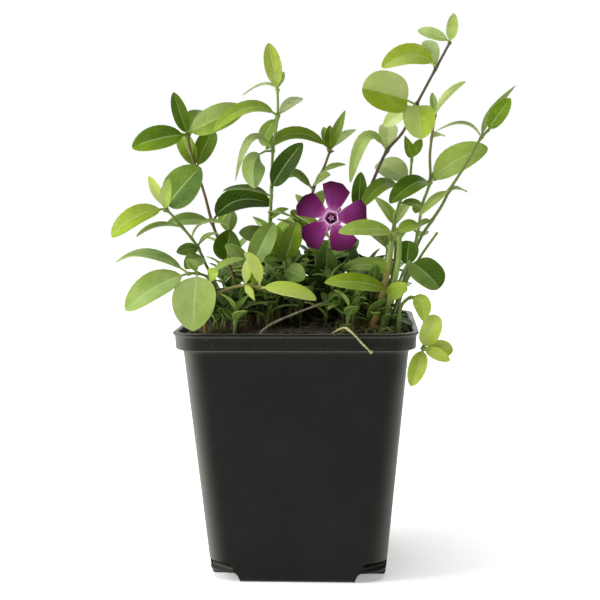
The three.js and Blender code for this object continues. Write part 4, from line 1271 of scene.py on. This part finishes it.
def window_cutter(sx, sy, low, high):
    """A slanted slot across a corner's wall, rounded at its upper corners."""
    turned = Matrix.Rotation(math.atan2(sy, sx), 2)
    reach = (body_half_at(low) - BODY_CORNER * (1 - math.sqrt(0.5))) * math.sqrt(2)
    upper = [(WINDOW_HALF, high - 1.2), (5.6, high - 0.3), (4.2, high)]
    outline = [(-WINDOW_HALF, low), (WINDOW_HALF, low), *upper, *((-across, z) for across, z in upper[::-1])]
    rings = [[(*(turned @ Vector((reach + depth, across))), z) for across, z in outline]
             for depth in (-3.4, 3.0)]
    return loft_object("window_cutter", rings)


# %% Cutting one body with another
def facing_out(made):
    """Turns all faces outwards, which a boolean relies on."""
    work = bmesh.new()
    work.from_mesh(made.data)
    bmesh.ops.recalc_face_normals(work, faces=work.faces)
    work.to_mesh(made.data)
    work.free()


def cut(body, cutters):
    for cutter in cutters:
        facing_out(cutter)
        modifier = body.modifiers.new("cut", "BOOLEAN")
        modifier.operation = "DIFFERENCE"
        modifier.solver = "EXACT"
        modifier.object = cutter
    bpy.context.view_layer.update()
    evaluated = body.evaluated_get(bpy.context.evaluated_depsgraph_get())
    mesh = bpy.data.meshes.new_from_object(evaluated)
    body.modifiers.clear()
    body.data = mesh
    for cutter in cutters:
        bpy.data.objects.remove(cutter)


# %% Body of the pot and its hollow
WALL_BOW = 0.22
COLLAR_BOW = 0.12


def pot_body():
    """Rings from the foot to the lip: half width, corner against the wall's, height, and bow."""
    wall = body_half_at(LEDGE)
    foot = [(FOOT_HALF - 0.9, -0.9, 0), (FOOT_HALF - 0.4, -0.4, 0.12), (body_half_at(0.5) - 0.1, -0.1, 0.5),
            (body_half_at(1), 0, 1)]
    foot += [(body_half_at(z), 0, z, WALL_BOW) for z in np.linspace(4, LEDGE - 4, 16)]
    ledge = [(wall - 0.1, 0, -1.6), (wall + 0.15, 0.2, -0.7), (wall + 0.5, 0.5, -0.3),
             (COLLAR_HALF - 0.6, 1.2, -0.05), (COLLAR_HALF - 0.2, 1.5, 0.15), (COLLAR_HALF, 1.6, 0.6),
             (COLLAR_HALF + 0.1, 1.7, 3, COLLAR_BOW)]
    lip = [(COLLAR_HALF + 0.2, 1.8, -1.8), (COLLAR_HALF + 0.5, 2.1, -1.2), (LIP_HALF - 0.1, 2.5, -0.9),
           (LIP_HALF, 2.6, -0.6), (LIP_HALF - 0.1, 2.5, -0.2), (LIP_HALF - 0.4, 2.2, 0)]
    rings = []
    for start, rows in ((0, foot), (LEDGE, ledge), (POT_HEIGHT, lip)):
        rings += [square_ring(half, BODY_CORNER + extra, start + z, *bow) for half, extra, z, *bow in rows]
    return loft_object("pot_moulded", rings)


def pot_hollow():
    floor = CORNER_RISE + 1.5
    body, collar = BODY_CORNER - WALL, COLLAR_CORNER - WALL
    rows = [(body_half_at(floor) - WALL, body, floor), (body_half_at(LEDGE) - WALL, body, LEDGE),
            (COLLAR_HALF - WALL, collar, LEDGE + WALL), (COLLAR_HALF - WALL, collar, POT_HEIGHT - 0.5),
            (COLLAR_HALF - WALL + 0.8, BODY_CORNER + 2.0 - WALL, POT_HEIGHT + 0.5)]
    return loft_object("pot_hollow", [square_ring(*row) for row in rows])


# %% [markdown]
# ## Plastic finish
#
# The moulded plastic is satin, almost black and a little greenish. Handling has left broad dull patches,
# fine scuffs and, near the rim, dust from the soil. The patches change roughness and colour, the scuffs only
# colour. Layer Weight paints the colour paler at a slant: a painted sheen, which stays in the material
# itself.

# %% Scuffs and soil dust
def make_wear_group():
    tree, g, given, out = make_group("wear", ["Height Share", "Base Colour", "Worn Colour", "Dust Colour"],
                                     ["Colour", "Roughness", "Height"])
    patches = g.noise(38, 3.0, 0.55)
    fine = g.noise(2600, 2.0, 0.6)
    scuff_noise = g.noise(700, 4.0, 0.7, g.drawn_out(0.2))
    scuffs = g.maths("MULTIPLY", g.between(scuff_noise, 0.66, 0.74), g.between(patches, 0.5, 0.62))
    specks = g.node("TexVoronoi", {"feature": "DISTANCE_TO_EDGE"}, Scale=900.0).outputs[0]
    near_rim = g.between(given["Height Share"], 0.86, 1.0)
    dust = g.maths("MULTIPLY", g.between(g.noise(900, 4.0, 0.65), 0.6, 0.74), near_rim)
    colour = g.mix(g.between(patches, 0.4, 0.75, 0.0, 0.16), given["Base Colour"], given["Worn Colour"])
    colour = g.mix(g.maths("MULTIPLY", scuffs, 0.8), colour, given["Worn Colour"])
    colour = g.mix(g.maths("MULTIPLY", dust, 0.55), colour, given["Dust Colour"])
    rough = g.maths("ADD", g.between(patches, 0.3, 0.7, 0.36, 0.5), g.maths("MULTIPLY", dust, 0.25))
    height = g.maths("ADD", g.maths("MULTIPLY", fine, 0.5), g.maths("MULTIPLY", specks, 0.2))
    g.give(out, Colour=colour, Roughness=rough, Height=height)
    return tree


wear_group = make_wear_group()


def make_plastic_material():
    material, g, shader = start_material("black_plastic", Specular_IOR_Level=0.15)
    height = g.node("SeparateXYZ", Vector=g.place()).outputs["Z"]
    share = g.maths("DIVIDE", height, POT_HEIGHT * MM)
    made = g.group(wear_group, Height_Share=share, Base_Colour="#0b0e09", Worn_Colour="#30332c",
                   Dust_Colour="#5e574b")
    # Painted sheen: the colour turns paler where the pot is seen at a slant, as if it reflected the side
    # light.
    slant = g.node("LayerWeight", Blend=0.5).outputs["Facing"]
    hazed = g.mix(g.between(slant, 0.03, 0.7), made["Colour"], "#50534c")
    finish_material(g, shader, hazed, made["Roughness"], made["Height"], 0.035)
    return material


plastic = make_plastic_material()
print("pot finish", plastic.name)


# %% The pot, cut and finished
def make_pot():
    signs = [(sx, sy) for sx in (1, -1) for sy in (1, -1)]
    body = pot_body()
    facing_out(body)
    raised = [corner_cutter(sx, sy, FOOT_ARM_HALF, CORNER_RISE) for sx, sy in signs]
    windows = [window_cutter(sx, sy, CORNER_RISE + 0.5, WINDOW_TOP) for sx, sy in signs]
    cut(body, raised + [pot_hollow()] + windows)
    body.data.materials.clear()
    body.data.materials.append(plastic)
    smooth_below(body.data, 32)
    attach(body, "root")
    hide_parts("pot")
    return body


pot = make_pot()
print("pot faces", len(pot.data.polygons))

# %% [markdown]
# ## The soil
#
# Potting compost is a heap of crumbs: peat and bits of bark. A fine grid gives the surface its small lumps,
# and a skirt below it goes down the walls. A square grid would poke through the pot's round corners, so
# points near a corner are pulled in.

# %% Soil finish
def make_soil_material(name, dark, mid, pale, pale_share):
    material, g, shader = start_material(name, Specular_IOR_Level=0.25)
    lumps = g.noise(520, 5.0, 0.7)
    grains = g.node("TexVoronoi", {"feature": "F1"}, Scale=1100.0).outputs["Distance"]
    tone = g.maths("ADD", g.maths("MULTIPLY", lumps, 0.6), g.maths("MULTIPLY", grains, 0.5))
    base = g.ramp(tone, [(0.2, dark), (0.62, mid)])
    fleck = g.noise(1900, 2.0, 0.5)
    colour = g.mix(g.between(fleck, 1 - pale_share, 1 - pale_share + 0.06), base, pale)
    finish_material(g, shader, colour, g.between(lumps, 0.2, 0.8, 0.82, 0.98), tone, 0.5)
    return material


compost = make_soil_material("compost", "#262119", "#6a5f4c", "#b5aa95", 0.38)
bark = make_soil_material("bark_bits", "#2e2a22", "#6b6353", "#b9b2a2", 0.42)
print("soil finishes", compost.name, bark.name)


# %% Surface of the soil
SOIL_GRID = 84
SKIRT = ((LEDGE, 0.35), (60, 0.35), (30, 0.35), (11, 0.35), (5.4, 4.5))


def soil_height(x, y):
    """The mound of the solid, with lumps on it."""
    return soil_top_at(x, y) + 0.75 * noise.fractal(Vector((x * 0.35, y * 0.35, 3.1)), 0.6, 2.1, 4)


def square_to_round(x, y, half, corner):
    """Pulls a point of a square grid inside the square's rounded corners."""
    over_x, over_y = max(0, abs(x) - (half - corner)), max(0, abs(y) - (half - corner))
    if over_x == 0 or over_y == 0:
        return x, y
    k = max(over_x, over_y) / math.hypot(over_x, over_y)
    return math.copysign(half - corner + over_x * k, x), math.copysign(half - corner + over_y * k, y)


def make_soil():
    """The block of compost: a fine top grid with a skirt down the walls to the floor of the pot."""
    top_half = COLLAR_HALF - WALL - 0.3
    shares = [2 * i / (SOIL_GRID - 1) - 1 for i in range(SOIL_GRID)]
    flat = [square_to_round(u * top_half, v * top_half, top_half, COLLAR_CORNER - WALL)
            for u in shares for v in shares]
    points = [(x, y, soil_height(x, y)) for x, y in flat]
    faces = grid_faces(SOIL_GRID, SOIL_GRID)
    edge = grid_edge(SOIL_GRID, SOIL_GRID)
    upper = edge
    for z, gap in SKIRT:
        scale = (body_half_at(z) - WALL - gap) / top_half
        lower = list(range(len(points), len(points) + len(edge)))
        points += [(flat[k][0] * scale, flat[k][1] * scale, z) for k in edge]
        faces += zip(upper, upper[1:] + upper[:1], lower[1:] + lower[:1], lower)
        upper = lower
    faces.append(tuple(reversed(upper)))
    gathered = Gather()
    gathered.add(points, faces)
    piece = make_piece("compost_block", gathered, [compost], 80)
    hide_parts("soil")
    return piece


soil = make_soil()
print("soil faces", len(soil.data.polygons))

# %% [markdown]
# ### Crumbs
#
# A bump alone leaves the soil's outline flat, so its loose bits are real meshes, each a small icosphere
# pushed out of shape. Particles could scatter them, but a loop with a fixed seed gives every run the same
# soil. Every third crumb lies near the front edge, where they are seen best.

# %% Crumbs
CRUMB_COUNT = 1900
EDGE_BITS = 90
BARK_SHARE = 0.24
LARGE_CRUMB = 0.85


def crumb_shape(detail):
    work = bmesh.new()
    bmesh.ops.create_icosphere(work, subdivisions=detail, radius=1.0)
    points = [tuple(v.co) for v in work.verts]
    faces = [tuple(v.index for v in f.verts) for f in work.faces]
    work.free()
    return points, faces


CRUMBS = {1: crumb_shape(1), 2: crumb_shape(2)}


def add_crumb(gathered, place, size, chance, detail=1, finish=0):
    points, faces = CRUMBS[detail]
    stretch = [chance.uniform(0.55, 1.25) for _ in range(3)]
    turn = Matrix.Rotation(chance.uniform(0, 6.28), 3, (chance.random(), chance.random(), 1))
    shift = Vector((chance.uniform(0, 50), 0, 0))
    made = []
    for p in points:
        v = Vector(p)
        v *= 1 + 0.45 * noise.noise(v * 1.7 + shift)
        v = turn @ Vector((v.x * stretch[0], v.y * stretch[1], v.z * stretch[2]))
        made.append(tuple(v * size + Vector(place)))
    gathered.add(made, faces, finish)


def make_crumbs():
    gathered = Gather()
    chance = random.Random(21)
    inside = COLLAR_HALF - WALL - 1.2
    for k in range(CRUMB_COUNT):
        x, y = chance.uniform(-inside, inside), chance.uniform(-inside, inside)
        if k % 3 == 0:
            y = -inside + 12 * chance.random() ** 1.5
        x, y = square_to_round(x, y, inside, BODY_CORNER)
        size = 0.35 + 0.9 * chance.random() ** 3
        finish = 1 if chance.random() < BARK_SHARE else 0
        place = (x, y, soil_height(x, y) + 0.35 * size)
        add_crumb(gathered, place, size, chance, 2 if size > LARGE_CRUMB else 1, finish)
    for _ in range(EDGE_BITS):
        x, y = chance.uniform(-inside, inside), -inside + 2.5 * chance.random()
        x, y = square_to_round(x, y, inside, BODY_CORNER)
        size = chance.uniform(0.55, 1.4)
        add_crumb(gathered, (x, y, soil_height(x, y) + 0.5 * size), size, chance, 2, 1)
    piece = make_piece("crumbs", gathered, [compost, bark], 180)
    return piece


crumbs = make_crumbs()
print("crumb faces", len(crumbs.data.polygons))

# %% [markdown]
# ## Dead stalks
#
# A grey stalk leans across the soil, and a straw-coloured one lies over the front rim, with a torn knob at
# its end. Both are tubes that grow thinner unevenly, in a dry finish with fibres along them.

# %% Stalk finish
def make_dry_material(name, pale, dark):
    material, g, shader = start_material(name, Specular_IOR_Level=0.3)
    fibres = g.noise(1800, 4.0, 0.7, g.drawn_out(0.35))
    spots = g.noise(420, 3.0, 0.6)
    colour = g.mix(g.between(fibres, 0.35, 0.65), dark, pale)
    colour = g.mix(g.between(spots, 0.55, 0.75, 0.0, 0.5), colour, "#5d4a33")
    finish_material(g, shader, colour, g.between(fibres, 0.2, 0.8, 0.65, 0.9), fibres, 0.15)
    return material


# %% Two stalks
STALK_RADIUS = 0.5
KNOB = 0.35


def make_stalk(name, node, root, path, material, knob):
    gathered = Gather()
    line = stem_line(root, path)
    share = np.linspace(0, 1, len(line))
    radii = STALK_RADIUS * (1 - 0.3 * share) * (1 + 0.12 * np.sin(share * 31))
    if knob:
        radii = radii + KNOB * smooth_step(share, 0.955, 0.985)
    points, faces = tube(line, radii, 10)
    gathered.add(points, faces)
    piece = make_piece(name, gathered, [material])
    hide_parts(node)
    return piece


grey_stalk = make_stalk("dead_stalk_dry", "dead_stalk", (-13, -39),
                        [(-10, -38, 97), (-2, -33, 100.5), (12, -24, 105)],
                        make_dry_material("grey_stalk", "#a79c86", "#6b6252"), False)
straw_stalk = make_stalk("straw_stalk_dry", "straw_stalk", (14, -36),
                         [(16, -40, 96), (18.5, -43.5, 97.2), (21, -46.6, 95.8), (24.5, -46.8, 92),
                          (28, -46.4, 88.5)],
                         make_dry_material("straw_stalk", "#b9b182", "#7d7a4c"), True)
print("stalk faces", len(grey_stalk.data.polygons), len(straw_stalk.data.polygons))

# %% [markdown]
# ## Undergrowth
#
# Between the shoots the soil is hidden by small sprouts and dark leaves. They are too many to place one by
# one, so chance scatters them, from a fixed seed for each patch: little stems with three to five leaves, in
# five patches that differ in height, size and colour. Their dark colours are partly painted shade, for the
# shadow of the dense shoots above them. Few points a leaf are enough for them.

# %% Small sprouts
SPROUT_RADII = [0.4, 0.36, 0.33, 0.3, 0.28, 0.25]


def add_small_sprout(gathered, x, y, height, size, light, bloom, chance):
    soil_z = soil_height(x, y)
    foot = np.array([x, y, soil_z - 1.0])
    lean = np.array([chance.uniform(-0.4, 0.4), chance.uniform(-0.4, 0.4), 1.0])
    head = np.array([x, y, soil_z]) + unit(lean) * height
    middle = (foot + head) / 2 + np.array([chance.uniform(-1, 1), chance.uniform(-1, 1), 0])
    points, faces = tube(smooth_curve([foot, middle, head], len(SPROUT_RADII)), SPROUT_RADII, 5)
    gathered.add(points, faces, STEM, age=chance.uniform(0.3, 1), warm=chance.uniform(0, 0.6))
    first = chance.uniform(0, math.pi)
    for k in range(chance.choice((3, 4, 4, 5))):
        turn = first + k * math.pi / 2 + chance.uniform(-0.4, 0.4)
        rise = chance.uniform(-0.2, 1.0)
        out, face = rising(turn, rise)
        reach = size * chance.uniform(0.7, 1.2)
        shade = min(1, max(0, light + chance.uniform(-0.12, 0.2)))
        spec = leaf(0, tuple(head + out * reach), reach * chance.uniform(0.42, 0.58), tuple(face), shade,
                    bloom + chance.uniform(-0.1, 0.25), fold=10, wave=0.05)
        base = head if k < 2 else middle + (head - middle) * chance.random()
        add_leaf(gathered, base, spec, chance, COARSE)


def make_undergrowth(name, seed, count, x_range, y_range, tall, size, light, bloom):
    gathered = Gather()
    chance = random.Random(seed)
    for _ in range(count):
        x, y = chance.uniform(*x_range), chance.uniform(*y_range)
        add_small_sprout(gathered, x, y, chance.uniform(*tall), chance.uniform(*size), light, bloom, chance)
    piece = make_piece(name, gathered, LEAFY)
    return piece


# The low light numbers make these leaves dark: partly their own colour, partly painted shade under the
# shoots.
undergrowth = [
    make_undergrowth("undergrowth_left", 41, 26, (-35, -8), (-30, -2), (3, 15), (7, 11), 0.06, 0.35),
    make_undergrowth("undergrowth_centre", 42, 34, (-12, 22), (-24, 6), (3, 24), (8, 12), 0.27, 0.5),
    make_undergrowth("undergrowth_right", 43, 30, (14, 36), (-32, 2), (3, 20), (7, 11), 0.16, 0.2),
    make_undergrowth("undergrowth_far", 44, 56, (-33, 33), (4, 33), (4, 24), (8, 13), 0.14, 0.2),
    make_undergrowth("undergrowth_low", 45, 60, (-36, 36), (-8, 36), (1, 6), (6, 10), 0.1, 0.15),
]
print("undergrowth faces", [len(piece.data.polygons) for piece in undergrowth])

# %% [markdown]
# ### Withered sheaths
#
# Dry husks of older growth stand round the sprout at the front right. They are tubes that swell and grow
# thin again, in the stem finish at its most orange.

# %% Withered sheaths round the sprout at the front right
def make_sheaths():
    gathered = Gather()
    stalks = [((28, -30), (31.5, -29.5, 106), (34, -28.5, 118), (35.4, -28.4, 127.5), 1.2, 0.75),
              ((31.5, -29), (35, -29.5, 108), (37.6, -28.6, 119), (38.2, -28.2, 129.5), 1.1, 0.2),
              ((25, -27), (28.5, -26.5, 104), (33, -26.5, 114), (35.5, -27, 121), 0.8, 0.8)]
    for root, *path, radius, age in stalks:
        line = stem_line(root, path)
        share = np.linspace(0, 1, len(line))
        points, faces = tube(line, radius * (0.75 + 0.25 * np.sin(share * 2.6)))
        ages = np.repeat(np.clip(age - 0.5 * share ** 2, 0, 1), STEM_SIDES)
        gathered.add(points, faces, STEM, age=list(ages), warm=1.0)
    piece = make_piece("withered_sheaths", gathered, LEAFY)
    return piece


sheaths = make_sheaths()
print("sheath faces", len(sheaths.data.polygons))

# %% [markdown]
# ### Moss
#
# Moss grows in tufts of curled threads, close to the soil. Each thread is a thin tube that keeps turning the
# same way, and half of the tufts lie at the front right, where the soil is bare.

# %% Moss
TUFTS = 30
THREADS = 7
THREAD_SHARES = np.linspace(0, 1, 7)


def make_moss():
    gathered = Gather()
    chance = random.Random(57)
    for _ in range(TUFTS):
        cx, cy = chance.uniform(-36, 36), chance.uniform(-35, 20)
        if chance.random() < 0.5:
            cx, cy = chance.uniform(14, 36), chance.uniform(-37, -22)
        for _ in range(THREADS):
            x, y = cx + chance.gauss(0, 1.6), cy + chance.gauss(0, 1.6)
            x, y = max(-39, min(39, x)), max(-39, min(39, y))
            z = soil_height(x, y)
            turn = chance.uniform(0, 6.28)
            reach, rise = chance.uniform(2, 7), chance.uniform(1, 4.5)
            line = []
            for s in THREAD_SHARES:
                bend = turn + 2.4 * s
                line.append((x + reach * s * math.cos(bend), y + reach * s * math.sin(bend),
                             z - 0.5 + rise * math.sin(math.pi * 0.62 * s)))
            points, faces = tube(np.array(line), 0.2 * (1 - 0.6 * THREAD_SHARES), 4)
            gathered.add(points, faces, STEM, age=chance.uniform(0.2, 1), warm=chance.uniform(0, 0.5))
    piece = make_piece("moss_threads", gathered, LEAFY)
    return piece


moss = make_moss()
print("moss faces", len(moss.data.polygons))

# %% [markdown]
# ## Floor and light
#
# The photograph has a plain white ground, so the floor is pale, glows a little and is lit until it is nearly
# white. Large soft lights stand above, behind, at the left and, much weaker, at the right. The surroundings
# are brighter behind the plant than in front, which leaves the front of the pot dark.

# %% Floor
FLOOR_SIZE = 6000
FLOOR_GRID = 9


def make_floor():
    material, g, shader = start_material("floor", Specular_IOR_Level=0.1, Emission_Strength=1.0)
    material.cycles.emission_sampling = "NONE"
    cloudy = g.noise(3.0, 2.0)
    away = g.node("VectorMath", {"operation": "LENGTH"}, i0=g.place()).outputs["Value"]
    g.put(shader, "Emission Color", g.mix(g.between(away, 0.12, 0.9), "#9a9a9a", "#e8e8e8"))
    colour = g.mix(cloudy, "#fafaf8", "#ffffff")
    finish_material(g, shader, colour, g.between(cloudy, 0, 1, 0.85, 0.95))
    steps = [(i / (FLOOR_GRID - 1) - 0.5) * FLOOR_SIZE for i in range(FLOOR_GRID)]
    gathered = Gather()
    gathered.add([(x, y, -0.05) for x in steps for y in steps], grid_faces(FLOOR_GRID, FLOOR_GRID))
    return make_piece("floor", gathered, [material], stage=True)


floor = make_floor()
print("floor tiles", len(floor.data.polygons))


# %% Lights
PLANT_MIDDLE = (5, 0, 120)


def add_light(name, place, size, watts):
    data = bpy.data.lights.new(name, "AREA")
    data.shape = "RECTANGLE"
    data.size, data.size_y = (s * MM for s in size)
    data.energy = watts
    light = bpy.data.objects.new(name, data)
    light.location = Vector(place) * MM
    light.rotation_euler = (Vector(PLANT_MIDDLE) - Vector(place)).to_track_quat("-Z", "Y").to_euler()
    bpy.context.scene.collection.objects.link(light)


add_light("light_above", (-150, -200, 1100), (900, 900), 6)
add_light("light_behind", (100, 900, 600), (1200, 900), 4)
add_light("light_left", (-760, -200, 240), (450, 700), 10.5)
add_light("light_right", (650, -375, 260), (250, 600), 1.2)
print("lights", len(bpy.data.lights))


# %% Surroundings
def make_surroundings():
    world = bpy.data.worlds.new("surroundings")
    bpy.context.scene.world = world
    world.use_nodes = True
    g = Graph(world.node_tree)
    background = world.node_tree.nodes["Background"]
    direction = g.node("SeparateXYZ", Vector=g.node("TexCoord").outputs["Generated"])
    behind = g.between(direction.outputs["Y"], -0.5, 0.7, 0.1, 0.75)
    behind = g.maths("MULTIPLY", behind, g.between(direction.outputs["X"], -0.2, 0.9, 1.0, 0.3))
    seen = g.node("LightPath").outputs["Is Camera Ray"]
    g.put(background, "Strength", g.maths("MAXIMUM", behind, seen))
    background.inputs["Color"].default_value = (1, 1, 1, 1)


make_surroundings()
bpy.context.scene.view_settings.view_transform = "Standard"
